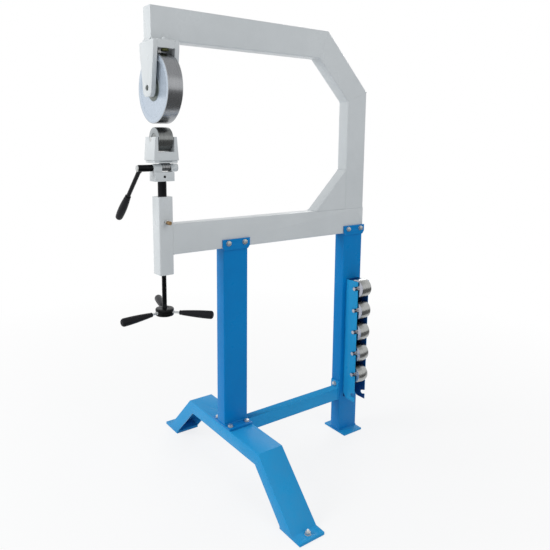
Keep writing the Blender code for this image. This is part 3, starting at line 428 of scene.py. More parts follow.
def turned(name, profile, axis, centre, steps=64):
    # A piece turned in the lathe: pairs of distance along the axis and radius, spun about it
    axis = Vector(axis)
    centre = Vector(centre)
    side = Vector((0.0, 0.0, 1.0)) if abs(axis.z) < 0.7 else Vector((1.0, 0.0, 0.0))
    side = (side - axis * side.dot(axis)).normalized()
    bpy.ops.object.select_all(action="DESELECT")
    bpy.ops.mesh.primitive_plane_add(size=0.01)
    piece = bpy.context.object
    piece.name = name
    bpy.ops.object.mode_set(mode="EDIT")
    bpy.ops.mesh.select_mode(type="VERT")
    bpy.ops.mesh.select_all(action="SELECT")
    bpy.ops.mesh.merge(type="CENTER")
    spots = [centre + axis * along + side * radius for along, radius in profile]
    bpy.ops.transform.translate(value=spots[0])
    for start, end in zip(spots, spots[1:]):
        bpy.ops.mesh.extrude_vertices_move(TRANSFORM_OT_translate={"value": end - start})
    bpy.ops.mesh.select_all(action="SELECT")
    bpy.ops.mesh.spin(steps=steps, angle=math.tau, center=centre, axis=axis)
    bpy.ops.mesh.select_all(action="SELECT")
    bpy.ops.mesh.remove_doubles(threshold=0.00001)
    bpy.ops.mesh.normals_make_consistent(inside=False)
    bpy.ops.object.mode_set(mode="OBJECT")
    bpy.ops.object.shade_smooth_by_angle(angle=math.radians(32.0))
    return piece


def hex_block(name, across, low, high, centre, axis, chamfer=0.0009):
    # A hexagon head or nut with its corners turned off
    axis = Vector(axis)
    centre = Vector(centre)
    bpy.ops.object.select_all(action="DESELECT")
    bpy.ops.mesh.primitive_cylinder_add(vertices=6, radius=across / math.sqrt(3.0), depth=high - low)
    piece = bpy.context.object
    piece.name = name
    piece.rotation_euler = axis.to_track_quat("Z", "Y").to_euler()
    piece.location = centre + axis * ((low + high) / 2)
    bpy.ops.object.transform_apply(location=True, rotation=True, scale=True)
    return round_edges(piece, chamfer, segments=2)


def joined(name, pieces):
    # Puts loose pieces of one fitting together under one name
    bpy.ops.object.select_all(action="DESELECT")
    for piece in pieces:
        piece.select_set(True)
    bpy.context.view_layer.objects.active = pieces[0]
    bpy.ops.object.join()
    pieces[0].name = name
    return pieces[0]


def plated(colour, shade, tint):
    # Zinc plate: cloudy crystals, a warm chromate tint, and fine scratches
    def surface(place):
        cloud = place.noise(60.0, 4.0, 0.6)
        stain = place.noise(22.0, 3.0).clamp(0.45, 0.75)
        metal = cloud.clamp(0.3, 0.7).between(colour, shade)
        tinted = place.node("Mix", {0: stain * 0.6, 6: metal, 7: (*tint, 1.0)}, {"data_type": "RGBA"}, 2)
        relief = place.node("Bump", {"Strength": 0.12, "Distance": 0.0003, "Height": place.noise(700.0, 3.0)})
        return {"Base Color": tinted, "Roughness": 0.30 + cloud * 0.22, "Normal": relief}

    return surface


olive_tones = plated((0.13, 0.14, 0.05), (0.06, 0.065, 0.03), (0.17, 0.16, 0.04))
olive_plate = finish("olive_plate", olive_tones, Metallic=0.85)
bolt_low, bolt_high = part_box("fork_bolt")
plate_low, plate_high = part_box("fork_plate")
up_way = (0, 0, 1)
fork_washer = [
    (-0.0003, 0.0066),
    (-0.0003, 0.0118),
    (-0.0008, 0.0124),
    (-0.0022, 0.0124),
    (-0.0026, 0.0119),
    (-0.0026, 0.0066),
    (-0.0003, 0.0066),
]
tip = bolt_high.z - plate_high.z
thread = 0.0060
bolt_end = [(0.0002, 0.0), (0.0002, thread), (tip - 0.0012, thread), (tip - 0.0004, 0.0050), (tip, 0.0030), (tip, 0.0)]
for label, side in (("near", 1), ("far", -1)):
    # Head and washer under the plate, and on top of it the nut, painted with the frame
    under = ((bolt_low.x + bolt_high.x) / 2, side * (bolt_low.y + bolt_high.y) / 2, plate_low.z)
    over = (under[0], under[1], plate_high.z)
    head = hex_block("fork_bolt_head_" + label, 0.0215, bolt_low.z - plate_low.z, -0.0027, under, up_way, 0.0012)
    washer = turned("fork_washer_" + label, fork_washer, up_way, under, 40)
    bolt = joined("fork_bolt_" + label, [head, washer])
    dress(bolt, olive_plate, "stand", "black_steel", *(["fork_bolt"] if label == "near" else []))
    nut = hex_block("fork_nut_" + label, 0.0165, 0.0002, 0.0062, over, up_way, 0.0012)
    end = turned("fork_bolt_end_" + label, bolt_end, up_way, over, 28)
    dress(joined("fork_nut_" + label, [nut, end]), frame_paint, "stand", "frame_paint")


# Upper wheel: turned and ground from steel, with a flat tread, eased rims, a dished web on each
# side and a pressed-in sealed bearing. It runs on a plain axle through the cheeks.
def lathe_steel(centre, tread, face, edge, hub=None, haze=0.0):
    # Bare steel with the rings that the tool leaves on its faces and round its tread. The tread
    # and the faces have their own pair of tones, and edge tells one from the other. Haze is how
    # far the faces are from polished metal.
    lines = 2600.0
    one_line = {"noise_dimensions": "1D"}

    def surface(place):
        local = place.node("VectorMath", {0: place, 1: tuple(centre)}, {"operation": "SUBTRACT"})
        along = local.node("SeparateXYZ", {0: local}, output="X")
        across = local.node("SeparateXYZ", {0: local}, output="Y")
        height = local.node("SeparateXYZ", {0: local}, output="Z")
        radius = (across * across + height * height) ** 0.5
        fine_way = (along + radius) * lines
        ring = place.node("TexNoise", {"W": fine_way, "Scale": 1.0, "Detail": 4.0}, one_line)
        broad_way = (along + radius) * (lines / 14)
        broad = place.node("TexNoise", {"W": broad_way, "Scale": 1.0, "Detail": 2.0}, one_line)
        cloud = place.noise(30.0, 4.0, 0.6)
        tone = (ring * 0.45 + broad * 0.35 + cloud * 0.2).clamp(0.32, 0.68)
        metal = edge(along, radius).between(tone.between(*face), tone.between(*tread))
        if hub:
            metal = radius.clamp(0.0405, 0.0397).between(metal, tone.between(*hub))
        relief = place.node("Bump", {"Strength": 0.22, "Distance": 0.00012, "Height": ring + broad * 0.6})
        inputs = {"Base Color": metal, "Roughness": 0.17 + ring * 0.10 + cloud * 0.09, "Normal": relief}
        if haze:
            inputs["Metallic"] = edge(along, radius) * haze + (1.0 - haze)
        return inputs

    return surface


wheel_low, wheel_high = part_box("upper_wheel")
wheel_centre = (wheel_low + wheel_high) / 2
wheel_radius = (wheel_high.z - wheel_low.z) / 2
boss = (wheel_high.x - wheel_low.x) / 2
tread = 0.0254
rim = 0.0022
bore_radius = 0.0125
half_side = [
    (boss, bore_radius),
    (boss, 0.0265),
    (boss - 0.0008, 0.0280),
    (tread - 0.0008, 0.0288),
    (tread - 0.0012, 0.0296),
    (tread - 0.0012, 0.0388),
    (tread - 0.0020, 0.0397),
    (tread - 0.0032, 0.0403),
    (tread - 0.0032, 0.0845),
    (tread - 0.0028, 0.0875),
    (tread - 0.0012, 0.0898),
    (tread - 0.0004, 0.0906),
    (tread, 0.0916),
    (tread, wheel_radius - rim),
    (tread - 0.0003, wheel_radius - rim * 0.62),
    (tread - rim * 0.38, wheel_radius - rim * 0.26),
    (tread - rim * 0.9, wheel_radius - 0.0001),
    (tread - rim * 1.5, wheel_radius),
]
profile = [(-x, r) for x, r in half_side] + [(x, r) for x, r in reversed(half_side)]
profile.append((-boss, bore_radius))
wheel_tread = ((0.30, 0.31, 0.33), (0.43, 0.44, 0.45))
# The side faces' pale blue-grey is the steel's own tone with a painted reflection of the bright studio in it
painted_reflection_wheel_sides = ((0.45, 0.52, 0.60), (0.56, 0.63, 0.72))
wheel_hub = ((0.11, 0.13, 0.12), (0.20, 0.23, 0.215))


def wheel_edge(along, radius):
    return radius.clamp(wheel_radius - 0.0030, wheel_radius - 0.0015)


wheel_tones = lathe_steel(wheel_centre, wheel_tread, painted_reflection_wheel_sides, wheel_edge, wheel_hub, haze=0.55)
wheel_steel = finish("wheel_steel", wheel_tones)
wheel = turned("upper_wheel_rim_and_web", profile, (1, 0, 0), wheel_centre, 144)
dress(wheel, wheel_steel, "wheel", "wheel_steel", "upper_wheel")


def rubber(place):
    # Moulded grey-green seal: matt, with a fine grain
    cloud = place.noise(140.0, 3.0)
    skin = cloud.between((0.050, 0.062, 0.057), (0.085, 0.100, 0.093))
    relief = place.node("Bump", {"Strength": 0.2, "Distance": 0.0003, "Height": place.noise(900.0, 2.0)})
    return {"Base Color": skin, "Roughness": 0.45 + cloud * 0.2, "Normal": relief}


seal_rubber = finish("seal_rubber", rubber)
for label, side in (("front", -1), ("rear", 1)):
    seal = [
        (side * (boss + 0.0001), 0.0250),
        (side * (boss + 0.0002), 0.0240),
        (side * (boss + 0.0002), 0.0200),
        (side * (boss - 0.0006), 0.0190),
        (side * (boss - 0.0006), 0.0150),
        (side * (boss + 0.0002), 0.0140),
        (side * (boss + 0.0002), 0.0105),
        (side * (boss - 0.0020), 0.0100),
        (side * (boss - 0.0020), 0.0250),
        (side * (boss + 0.0001), 0.0250),
    ]
    dress(turned("wheel_seal_" + label, seal, (1, 0, 0), wheel_centre, 72), seal_rubber, "wheel", "black_steel")

zinc = finish("zinc_plate", plated((0.72, 0.74, 0.75), (0.50, 0.52, 0.53), (0.60, 0.60, 0.55)), Metallic=0.85)
axle_low, axle_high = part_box("upper_axle")
reach_front = axle_low.x - wheel_centre.x
reach_rear = axle_high.x - wheel_centre.x
cheek_face = front_low.x - wheel_centre.x
axle_profile = [
    (reach_front, 0.0),
    (reach_front, 0.0062),
    (reach_front + 0.0009, 0.0075),
    (reach_front + 0.0016, 0.0080),
    (reach_rear - 0.0012, 0.0080),
    (reach_rear, 0.0066),
    (reach_rear, 0.0),
]
axle = turned("wheel_axle_rod", axle_profile, (1, 0, 0), wheel_centre, 48)
nut_face = -cheek_face + 0.0003
nut = hex_block("wheel_axle_nut", 0.022, nut_face, nut_face + 0.007, wheel_centre, (1, 0, 0), 0.0012)
dull_steel = finish("dull_steel", plated((0.17, 0.19, 0.19), (0.10, 0.115, 0.115), (0.15, 0.15, 0.13)), Metallic=0.8)
dress(joined("wheel_axle", [axle, nut]), dull_steel, "stand", "plated_steel", "upper_axle")


# Anvils: six turned rollers, one in the cradle and five spare in the rack. Each tread has its own
# crown, from nearly flat to full, and each side a shallow face groove round the axle.
def anvil_profile(crown, radius, half, hub, stub):
    steps = 16
    points = []
    for index in range(steps + 1):
        offset = (half - 0.0016) * (2 * index / steps - 1)
        points.append((offset, radius - crown + math.sqrt(crown * crown - offset * offset)))
    edge = points[0][1]
    face = [(half, edge - 0.0018), (half - 0.0004, edge - 0.0006)]
    dish = [(half - 0.0005, hub), (half - 0.0012, hub + 0.0012), (half - 0.0012, hub + 0.0105), (half, hub + 0.0115)]
    side = dish + face
    left = [(-x, r) for x, r in side]
    right_side = [(x, r) for x, r in reversed(side)]
    if stub:
        tip = half + stub
        end = [(tip, 0.0), (tip, hub - 0.0012), (tip - 0.0010, hub)]
        return [(-x, r) for x, r in end] + left + points + right_side + [(x, r) for x, r in reversed(end)]
    return left + points + right_side + [(-half + 0.0005, hub)]


anvil_low, anvil_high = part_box("anvil")
anvil_centre = (anvil_low + anvil_high) / 2
anvil_radius = (anvil_high.z - anvil_low.z) / 2
half_anvil = (anvil_high.x - anvil_low.x) / 2
working_profile = anvil_profile(0.300, anvil_radius, half_anvil, 0.0079, 0.0)
working = turned("working_anvil", working_profile, (1, 0, 0), anvil_centre, 120)


def anvil_edge(along, radius):
    return abs(along).clamp(half_anvil - 0.0006, half_anvil - 0.0014)


# The working anvil's steel is darker than the spares': a painted reflection of the dark wheel just above it
in_use_tread_painted_reflection = ((0.18, 0.19, 0.185), (0.31, 0.32, 0.32))
in_use_face_painted_reflection = ((0.30, 0.33, 0.34), (0.44, 0.47, 0.49))
working_tones = lathe_steel(anvil_centre, in_use_tread_painted_reflection, in_use_face_painted_reflection, anvil_edge)
working_steel = finish("working_anvil_steel", working_tones, Metallic=1.0)
dress(working, working_steel, "anvil", "wheel_steel", "anvil")
pin_low, pin_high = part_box("anvil_axle")
pin_reach = (pin_high.x - pin_low.x) / 2
pin_end = [(pin_reach, 0.0), (pin_reach, 0.0063), (pin_reach - 0.0012, 0.0075)]
pin_profile = [(-x, r) for x, r in pin_end] + [(x, r) for x, r in reversed(pin_end)]
pin = turned("working_anvil_axle", pin_profile, (1, 0, 0), anvil_centre, 40)
dress(pin, zinc, "cradle", "plated_steel", "anvil_axle")
spare_tread = ((0.31, 0.32, 0.315), (0.48, 0.49, 0.48))
# The side faces' pale blue-grey is the steel's own tone with a painted reflection of the bright studio in it
spare_sides_painted_reflection = ((0.37, 0.38, 0.43), (0.52, 0.53, 0.59))
for number, crown in enumerate((0.230, 0.150, 0.100, 0.075, 0.060), 1):
    node = "spare_anvil_" + str(number)
    low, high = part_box(node)
    centre = (low + high) / 2
    stub = (high.x - low.x) / 2 - half_anvil
    spare_profile = anvil_profile(crown, anvil_radius, half_anvil, 0.0075, stub)
    roller = turned(node + "_turned", spare_profile, (1, 0, 0), centre, 96)
    bare = finish(node + "_steel", lathe_steel(centre, spare_tread, spare_sides_painted_reflection, anvil_edge), Metallic=1.0)
    dress(roller, bare, "spare_" + str(number), "wheel_steel", node)


# Cradle and lift plate: milled steel blocks with eased edges, painted with the frame. The
# cradle's pocket carries the working anvil, and the plate under it takes the cam's push.
for node, name, radius in (("cradle", "anvil_cradle", 0.0016), ("cradle_plate", "lift_plate", 0.0012)):
    dress(round_edges(copy_of(node, name), radius), frame_paint, "cradle", "frame_paint", node)


# Cam and its housing: a painted block bored for the camshaft, which is bare ground steel, with
# a socket screw in its near face. The housing is pinned on top of the ram.
block = round_edges(copy_of("cam_housing", "cam_block"), 0.0012)
dress(block, frame_paint, "ram", "frame_paint", "cam_housing")
cam = round_edges(copy_of("camshaft", "cam_and_shaft"), 0.0006, segments=2)
hub_low, hub_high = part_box("lever_hub")
hub_centre = (hub_low + hub_high) / 2
cam_tones = ((0.16, 0.165, 0.17), (0.34, 0.35, 0.36))


def cam_edge(along, radius):
    return radius.clamp(0.0, 0.01)


cam_steel = finish("cam_steel", lathe_steel(hub_centre, cam_tones, cam_tones, cam_edge), Metallic=1.0)
dress(cam, cam_steel, "cam", "wheel_steel", "camshaft")
shaft_low, shaft_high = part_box("camshaft")
block_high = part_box("cam_housing")[1]
shaft_end = Vector((block_high.x, 0.0, hub_centre.z))
cap_reach = shaft_high.x - block_high.x
end_cap = [
    (0.0002, 0.0100),
    (0.0002, 0.0128),
    (0.0010, 0.0134),
    (cap_reach - 0.0016, 0.0134),
    (cap_reach - 0.0004, 0.0124),
    (cap_reach + 0.0004, 0.0108),
    (cap_reach + 0.0004, 0.0),
]
dress(turned("cam_end_cap", end_cap, (1, 0, 0), shaft_end, 56), frame_paint, "cam", "frame_paint")


def black_oxide(place):
    # Oil-blacked steel: nearly black, a little brown in patches, with handling polish
    cloud = place.noise(45.0, 4.0, 0.6)
    rubbed = place.noise(130.0, 5.0, 0.7).clamp(0.62, 0.80)
    base = cloud.between((0.006, 0.007, 0.008), (0.018, 0.018, 0.020))
    worn = (rubbed * 0.30).between(base, (0.075, 0.075, 0.080))
    relief = place.node("Bump", {"Strength": 0.12, "Distance": 0.0003, "Height": place.noise(420.0, 3.0)})
    return {"Base Color": worn, "Roughness": 0.30 + cloud * 0.18 - rubbed * 0.1, "Normal": relief}


blacked = finish("blacked_steel", black_oxide, Metallic=0.92)
screw_low, screw_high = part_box("set_screw")
screw_centre = Vector(((screw_low.x + screw_high.x) / 2, screw_low.y, (screw_low.z + screw_high.z) / 2))
screw_profile = [
    (0.0042, 0.0),
    (0.0042, 0.0021),
    (0.0004, 0.0022),
    (0.0, 0.0025),
    (0.0, 0.0034),
    (0.0006, 0.0040),
    (0.0100, 0.0040),
    (0.0100, 0.0),
]
set_screw = turned("housing_set_screw", screw_profile, (0, 1, 0), screw_centre, 30)
dress(set_screw, blacked, "ram", "black_steel", "set_screw")


# Lever: a round hub pinned on the camshaft, a blacked rod screwed into it, and a moulded grip
# that swells towards its rounded end.
half_hub = (hub_high.x - hub_low.x) / 2
hub_radius = (hub_high.z - hub_low.z) / 2
hub_profile = [
    (-half_hub, 0.0082),
    (-half_hub, hub_radius - 0.0018),
    (-half_hub + 0.0016, hub_radius - 0.0003),
    (-half_hub + 0.0024, hub_radius),
    (half_hub - 0.0020, hub_radius),
    (half_hub, hub_radius - 0.0016),
    (half_hub, 0.0082),
    (-half_hub, 0.0082),
]
dress(turned("lever_boss", hub_profile, (1, 0, 0), hub_centre, 56), blacked, "cam", "black_steel", "lever_hub")
arm_low, arm_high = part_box("lever_arm")
swing = math.radians(42.5)
lever_way = Vector((0.0, math.cos(swing), -math.sin(swing)))
lever_root = Vector(((arm_low.x + arm_high.x) / 2, 0.0, hub_centre.z))
arm_profile = [
    (0.0060, 0.0),
    (0.0060, 0.0088),
    (0.0150, 0.0088),
    (0.0165, 0.0070),
    (0.1500, 0.0070),
    (0.1500, 0.0),
]
dress(turned("lever_rod", arm_profile, lever_way, lever_root, 40), blacked, "cam", "black_steel", "lever_arm")


def moulded(place):
    # Moulded black plastic: satin skin, faint flow marks and a little dust in the grain
    flow = place.noise(26.0, 4.0)
    grain = place.noise(650.0, 2.0)
    skin = flow.between((0.008, 0.008, 0.010), (0.018, 0.018, 0.021))
    relief = place.node("Bump", {"Strength": 0.10, "Distance": 0.0003, "Height": grain + flow * 0.4})
    return {"Base Color": skin, "Roughness": 0.26 + flow * 0.14 + grain * 0.05, "Normal": relief}


black_plastic = finish("moulded_black", moulded, Specular_IOR_Level=0.09)


def grip_profile(start, end, neck, belly, bore, fullest=0.95, tail=1.0):
    # Ferrule, slim neck, long swell that is widest at its fullest share, and a rounded end
    length = end - start
    points = [(start, bore), (start, neck * 0.88), (start + 0.0012, neck)]
    points += [(start + 0.0042, neck), (start + 0.0058, neck * 0.92)]
    for share in (0.08, 0.15, 0.23, 0.32, 0.42, 0.52, 0.62, 0.72, 0.82, 0.89):
        if share < fullest:
            swell = math.sin(share / fullest * math.pi / 2)
            points.append((start + length * share, neck * 0.96 + (belly - neck * 0.96) * swell))
        else:
            fall = 1.0 - math.cos((share - fullest) / (1.0 - fullest) * math.pi / 2)
            points.append((start + length * share, belly * (1.0 - (1.0 - tail) * fall)))
    blunt = belly * tail
    rounding = blunt * 0.62
    for index in range(8):
        angle = math.radians(90.0 * index / 7)
        points.append((end - rounding + rounding * math.sin(angle), blunt - rounding + rounding * math.cos(angle)))
    points.append((end - 0.0002, blunt * 0.16))
    points.append((end - 0.0004, 0.0))
    return points


lever_grip = grip_profile(0.1435, 0.268, neck=0.0100, belly=0.0142, bore=0.0072, fullest=0.62, tail=0.86)
lever_handle = turned("lever_handle", lever_grip, lever_way, lever_root, 56)
tip_reach = shaft_low.x - hub_low.x
tip_seat = Vector((hub_low.x, 0.0, hub_centre.z))
tip_profile = [
    (0.0, 0.0070),
    (0.0, 0.0098),
    (-0.0006, 0.0102),
    (tip_reach + 0.0012, 0.0098),
    (tip_reach + 0.0003, 0.0086),
    (tip_reach, 0.0070),
    (tip_reach - 0.0002, 0.0),
]
dress(turned("lever_end_washer", tip_profile, (1, 0, 0), tip_seat, 48), zinc, "cam", "plated_steel")
dress(lever_handle, black_plastic, "cam", "black_grip", "lever_grip")


# Ram: a ground and blacked round bar that slides in its square housing, which is bored solid
# bar welded to the lower beam's end and painted with the frame.
housing = round_edges(copy_of("ram_housing", "ram_square_housing"), tube_edge, Vector((0.0, 0.0, 1.0)), 5)
dress(housing, frame_paint, "stand", "frame_paint", "ram_housing")
ram_low, ram_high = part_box("ram")
ram_centre = Vector(((ram_low.x + ram_high.x) / 2, 0.0, 0.0))
ram_radius = (ram_high.x - ram_low.x) / 2
ram_profile = [
    (ram_low.z, 0.0),
    (ram_low.z, ram_radius - 0.0012),
    (ram_low.z + 0.0012, ram_radius),
    (ram_high.z - 0.0040, ram_radius),
    (ram_high.z - 0.0034, ram_radius - 0.0006),
    (ram_high.z, ram_radius - 0.0006),
    (ram_high.z, 0.0),
]
dress(turned("ram_bar", ram_profile, (0, 0, 1), ram_centre, 72), blacked, "ram", "black_steel", "ram")


# Lock screw: a brass-headed screw with a knurled head, and a zinc plated nut against the
# housing.
lock_low, lock_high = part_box("lock_screw")
lock_z = (lock_low.z + lock_high.z) / 2
lock_centre = Vector((ram_centre.x, 0.0, lock_z))
head_radius = (lock_high.z - lock_low.z) / 2
lock_profile = [
    (lock_low.y + 0.0006, 0.0),
    (lock_low.y, 0.0020),
    (lock_low.y, head_radius - 0.0016),
    (lock_low.y + 0.0012, head_radius - 0.0002),
    (lock_low.y + 0.0128, head_radius - 0.0002),
    (lock_low.y + 0.0140, head_radius - 0.0016),
    (lock_low.y + 0.0140, 0.0050),
    (lock_high.y - 0.0010, 0.0050),
    (lock_high.y, 0.0040),
    (lock_high.y, 0.0),
]


def dull_brass(place):
    # Brass gone brown from handling, brighter on the rubbed spots
    cloud = place.noise(90.0, 4.0, 0.6)
    knurl = place.noise(500.0, 2.0)
    metal = cloud.between((0.24, 0.13, 0.06), (0.58, 0.40, 0.20))
    relief = place.node("Bump", {"Strength": 0.4, "Distance": 0.0003, "Height": knurl})
    return {"Base Color": metal, "Roughness": 0.30 + cloud * 0.2, "Normal": relief}


brass = finish("dull_brass", dull_brass, Metallic=1.0)
dress(turned("lock_knob", lock_profile, (0, 1, 0), lock_centre, 44), brass, "lock", "lock_brass", "lock_screw")
nut_low, nut_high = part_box("lock_nut")
nut_start = nut_low.y - lock_centre.y
lock_hex = hex_block("lock_hex_nut", 0.0142, nut_start, nut_high.y - lock_centre.y, lock_centre, (0, 1, 0))
dress(lock_hex, zinc, "stand", "black_steel", "lock_nut")


# Adjuster: a long blacked screw that lifts the ram, with a spool-shaped hub at its foot and
# three plated rods that carry moulded grips.
post_low, post_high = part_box("adjuster_screw")
spool_low, spool_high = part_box("adjuster_hub")
housing_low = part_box("ram_housing")[0]
pitch = 0.0025
depth = 0.0009
post_radius = 0.0080
root = post_radius - depth
post_profile = [(post_low.z, 0.0), (post_low.z, post_radius)]
post_profile += [(spool_high.z + 0.012, post_radius), (spool_high.z + 0.0135, root)]
z = spool_high.z + 0.0150
while z < housing_low.z + 0.05:
    post_profile += [(z, root), (z + pitch * 0.35, post_radius)]
    post_profile += [(z + pitch * 0.5, post_radius), (z + pitch * 0.85, root)]
    z += pitch
post_profile += [(post_high.z - 0.001, root), (post_high.z, post_radius - 0.002), (post_high.z, 0.0)]
post = turned("adjuster_post", post_profile, (0, 0, 1), ram_centre, 40)
dress(post, blacked, "adjuster", "black_steel", "adjuster_screw")
spool_radius = spool_high.x - ram_centre.x
spool_profile = [
    (spool_low.z, 0.0),
    (spool_low.z, spool_radius - 0.0046),
    (spool_low.z + 0.0012, spool_radius - 0.0014),
    (spool_low.z + 0.0036, spool_radius),
    (spool_low.z + 0.0100, spool_radius),
    (spool_low.z + 0.0112, spool_radius - 0.0012),
    (spool_low.z + 0.0150, spool_radius - 0.0012),
    (spool_low.z + 0.0162, spool_radius),
    (spool_high.z - 0.0036, spool_radius),
    (spool_high.z - 0.0010, spool_radius - 0.0016),
    (spool_high.z, spool_radius - 0.0050),
    (spool_high.z, 0.0150),
    (spool_high.z - 0.0008, 0.0142),
    (spool_high.z - 0.0008, 0.0086),
    (spool_high.z - 0.0060, 0.0084),
]
spool = turned("adjuster_spool", spool_profile, (0, 0, 1), ram_centre, 80)
dress(spool, blacked, "adjuster", "black_steel", "adjuster_hub")
spool_middle = Vector((ram_centre.x, 0.0, (spool_low.z + spool_high.z) / 2))
rod_profile = [(0.0285, 0.0), (0.0285, 0.0055), (0.0330, 0.0055), (0.0338, 0.0040), (0.0600, 0.0040), (0.0600, 0.0)]
handle_grip = grip_profile(0.0533, 0.1701, neck=0.0078, belly=0.0137, bore=0.0042)
for number in (1, 2, 3):
    angle = math.radians(72.0 + 120.0 * (number - 1))
    way = Vector((math.cos(angle), math.sin(angle), 0.0))
    rod = turned("handle_bar_" + str(number), rod_profile, way, spool_middle, 32)
    dress(rod, zinc, "adjuster", "plated_steel", "handle_rod_" + str(number))
    grip = turned("handle_" + str(number), handle_grip, way, spool_middle, 52)
    dress(grip, black_plastic, "adjuster", "black_grip", "handle_grip_" + str(number))


# Stand: two columns of the same tube, saddles folded from plate, a flange and a base plate, a
# bent channel foot and a square stretcher, all welded or bolted and sprayed bright blue. The
# low pieces have a lighter blue than the columns, which is painted light for how they are lit.
stand_gloss = 0.14
stand_peel = 0.05
stand_colour = (0.0015, 0.225, 0.585)
stand_shade = (0.001, 0.195, 0.530)
stand_dust = (0.16, 0.33, 0.52)
# Painted light: the lighter blue of the stretcher, the rear base and the foot
foot_colour = (0.018, 0.335, 0.690)
foot_shade = (0.014, 0.300, 0.640)
stand_tones = enamel(stand_colour, stand_shade, stand_dust, stand_peel)
stand_paint = finish("stand_paint", stand_tones, Specular_IOR_Level=stand_gloss)
painted_light_low_tones = enamel(foot_colour, foot_shade, stand_dust, stand_peel)
painted_light_low_paint = finish("painted_light_low_paint", painted_light_low_tones, Specular_IOR_Level=stand_gloss)
for node, along, radius, paint in (
    ("front_column", Vector((0.0, 0.0, 1.0)), 0.0040, stand_paint),
    ("rear_column", Vector((0.0, 0.0, 1.0)), 0.0040, stand_paint),
    ("stretcher", Vector((1.0, 0.0, 0.0)), 0.0026, painted_light_low_paint),
):
    tube = round_edges(copy_of(node, "stand_" + node), radius, along, 5)
    dress(tube, paint, "stand", "stand_paint", node)
for node, radius, paint in (
    ("front_saddle", 0.0010, stand_paint),
    ("rear_saddle", 0.0010, stand_paint),
    ("base_flange", 0.0011, stand_paint),
    ("rear_base", 0.0014, painted_light_low_paint),
    ("foot", 0.0018, painted_light_low_paint),
):
    dress(round_edges(copy_of(node, "stand_" + node), radius, segments=3), paint, "stand", "stand_paint", node)
column_low, column_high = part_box("front_column")
base_low, base_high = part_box("rear_column")
foot_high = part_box("foot")[1]
brace_low, brace_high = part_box("stretcher")
for name, low, high in (
    ("weld_front_column", column_low, column_high),
    ("weld_rear_column", base_low, base_high),
):
    inset = 0.0022
    corners = [(low.x, low.y + inset), (low.x + inset, low.y), (high.x - inset, low.y), (high.x, low.y + inset)]
    corners += [(high.x, high.y - inset), (high.x - inset, high.y), (low.x + inset, high.y), (low.x, high.y - inset)]
    points = [(x, y, low.z + 0.0004) for x, y in corners]
    weld(name, points, 0.0030, True, stand_paint, "stand_paint")
half_brace = 0.01905
points = [
    (brace_low.x, -half_brace, brace_low.z),
    (brace_low.x, -half_brace, foot_high.z),
    (brace_low.x, half_brace, foot_high.z),
    (brace_low.x, half_brace, brace_low.z),
]
weld("weld_stretcher", points, 0.0030, False, stand_paint, "stand_paint")


# Bolts: plated hexagon bolts with washers hold the beam in its saddles, the column to the foot,
# the stretcher to the rear column, and level the foot's pads.
bolt_across = 0.0165
bolt_chamfer = 0.0011
thread_pitch = 0.0015
washer_hole = 0.0052


def washer_ring(radius, thickness):
    # The outline of a washer with eased rims, from its seat upwards
    outside = [(0.0, radius - 0.0004), (0.0004, radius), (thickness - 0.0004, radius), (thickness, radius - 0.0004)]
    return [(0.0, washer_hole)] + outside + [(thickness, washer_hole), (0.0, washer_hole)]


def bolt_pattern(grip, tail):
    # Head and washer above zero, nut and washer below the grip, shank through both, along +Z
    top = (0.0, 0.0, 0.0)
    parts = [hex_block("head", bolt_across, 0.0014, 0.0070, top, up_way, bolt_chamfer)]
    ring = washer_ring(0.0098, 0.0016)
    parts.append(turned("washer", ring, up_way, top, 36))
    low_ring = [(-grip - distance, radius) for distance, radius in ring]
    parts.append(turned("nut_washer", low_ring, up_way, top, 36))
    parts.append(hex_block("nut", bolt_across, -grip - 0.0088, -grip - 0.0014, top, up_way, bolt_chamfer))
    shank = [(0.0025, 0.0), (0.0025, 0.0048)]
    step = -grip - 0.0085
    shank.append((step, 0.0048))
    while step > -grip - tail + thread_pitch:
        shank += [(step - 0.0004, 0.0049), (step - 0.0011, 0.0043)]
        step -= thread_pitch
    shank += [(-grip - tail + 0.0004, 0.0040), (-grip - tail, 0.0034), (-grip - tail, 0.0)]
    parts.append(turned("shank", shank, up_way, top, 24))
    return joined("bolt_pattern", parts)


def place_bolts(pattern, nodes, way):
    # A copy of the bolt for each node, with its own mesh, its head against the node's head face
    for node, seat in nodes:
        made = pattern.copy()
        made.data = pattern.data.copy()
        made.name = node + "_fitted"
        bpy.context.scene.collection.objects.link(made)
        turn = Vector(way).to_track_quat("Z", "Y").to_matrix().to_4x4()
        made.data.transform(Matrix.Translation(seat) @ turn)
        dress(made, zinc, "stand", "plated_steel", node)
    bpy.data.objects.remove(pattern)


def node_centre(node):
    low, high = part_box(node)
    return (low + high) / 2


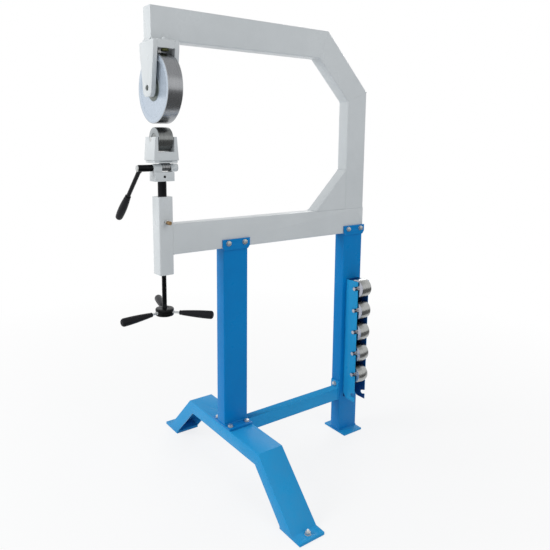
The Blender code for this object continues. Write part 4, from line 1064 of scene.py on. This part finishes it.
saddle_low, saddle_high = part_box("front_saddle")
seats = []
for number in (1, 2, 3, 4):
    centre = node_centre("saddle_bolt_" + str(number))
    seats.append(("saddle_bolt_" + str(number), Vector((centre.x, saddle_low.y - 0.0002, centre.z))))
place_bolts(bolt_pattern(saddle_high.y - saddle_low.y + 0.0004, 0.0092), seats, (0, -1, 0))
flange_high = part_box("base_flange")[1]
seats = []
for number in (1, 2, 3, 4):
    centre = node_centre("flange_bolt_" + str(number))
    seats.append(("flange_bolt_" + str(number), Vector((centre.x, centre.y, flange_high.z + 0.0002))))
place_bolts(bolt_pattern(0.0136, 0.0092), seats, (0, 0, 1))
centre = node_centre("stretcher_bolt")
seat = Vector((brace_high.x - 0.0062, centre.y, centre.z))
place_bolts(bolt_pattern(0.0113, 0.0092), [("stretcher_bolt", seat)], (-1, 0, 0))
pad_top = 0.0100
for node in ("pad_bolt_left", "pad_bolt_right"):
    low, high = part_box(node)
    centre = Vector(((low.x + high.x) / 2, (low.y + high.y) / 2, pad_top))
    parts = [turned("pad_washer", washer_ring(0.0104, 0.0018), up_way, centre, 36)]
    parts.append(hex_block("pad_nut", 0.0168, 0.0018, 0.0092, centre, up_way, bolt_chamfer))
    stem = [(low.z - pad_top, 0.0), (low.z - pad_top, 0.0044), (0.0090, 0.0048)]
    step = 0.0092
    while step < high.z - pad_top - thread_pitch:
        stem += [(step + 0.0004, 0.0050), (step + 0.0011, 0.0044)]
        step += thread_pitch
    stem += [(high.z - pad_top, 0.0036), (high.z - pad_top, 0.0)]
    parts.append(turned("pad_stem", stem, up_way, centre, 24))
    dress(joined(node + "_fitted", parts), zinc, "stand", "plated_steel", node)


# Anvil rack: folded sheet on the near face of the rear column, with six slanted seats in each
# flange, painted with the stand and held by a rivet near each end of its web. Its blue is lighter
# than the columns', as painted light, and a deep blue is painted shade between the anvils.
# Painted light: the rack's blue is lighter than the columns' for how it is lit
rack_painted_light_surface = enamel((0.018, 0.350, 0.690), (0.014, 0.310, 0.640), stand_dust, stand_peel)
# Painted shade: a deep blue on the web and on the rear flange's inner face, for the shade between the anvils
painted_shade_surface = enamel((0.001, 0.055, 0.230), (0.001, 0.040, 0.180), stand_dust, 0.08)
rack_paint = finish("rack_paint", rack_painted_light_surface, Specular_IOR_Level=stand_gloss)
rack_painted_shade = finish("rack_painted_shade", painted_shade_surface, Specular_IOR_Level=0.10)
rack_outside_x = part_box("rack_flange_rear")[1].x


def shaded_inside(place):
    # The rear flange carries the painted shade, a deep blue, only on the face towards the anvils
    outer = rack_painted_light_surface(place)
    inner = painted_shade_surface(place)
    place_x = place.node("SeparateXYZ", {0: place}, output="X")
    share = place_x.clamp(rack_outside_x - 0.0024, rack_outside_x - 0.0018)
    outer["Base Color"] = share.between(inner["Base Color"], outer["Base Color"])
    return outer


rack_rear = finish("rack_rear", shaded_inside, Specular_IOR_Level=0.12)
for node, coat in (("rack_web", rack_painted_shade), ("rack_flange_front", rack_paint), ("rack_flange_rear", rack_rear)):
    dress(round_edges(copy_of(node, "painted_" + node), 0.0006, segments=2), coat, "stand", "rack_paint", node)
web_low, web_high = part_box("rack_web")
rivet = [(0.0, 0.0), (0.0, 0.0045), (-0.0004, 0.0044), (-0.0012, 0.0036), (-0.0017, 0.0022), (-0.0019, 0.0)]
for number, z in enumerate((web_high.z - 0.012, web_low.z + 0.060), 1):
    seat = Vector(((web_low.x + web_high.x) / 2, web_low.y, z))
    dress(turned("rack_rivet_" + str(number), rivet, (0, 1, 0), seat, 28), rack_paint, "stand", "rack_paint")
for side, x in (("front", web_low.x - 0.0001), ("rear", web_high.x + 0.0001)):
    points = [(x, web_low.y + 0.0004, web_low.z + 0.030), (x, web_low.y + 0.0004, web_high.z - 0.001)]
    weld("weld_rack_" + side, points, 0.0012, False, rack_paint, "rack_paint")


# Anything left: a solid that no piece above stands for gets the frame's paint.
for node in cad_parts.values():
    if not node.hide_render and not node.data.materials:
        node.data.materials.append(frame_paint)
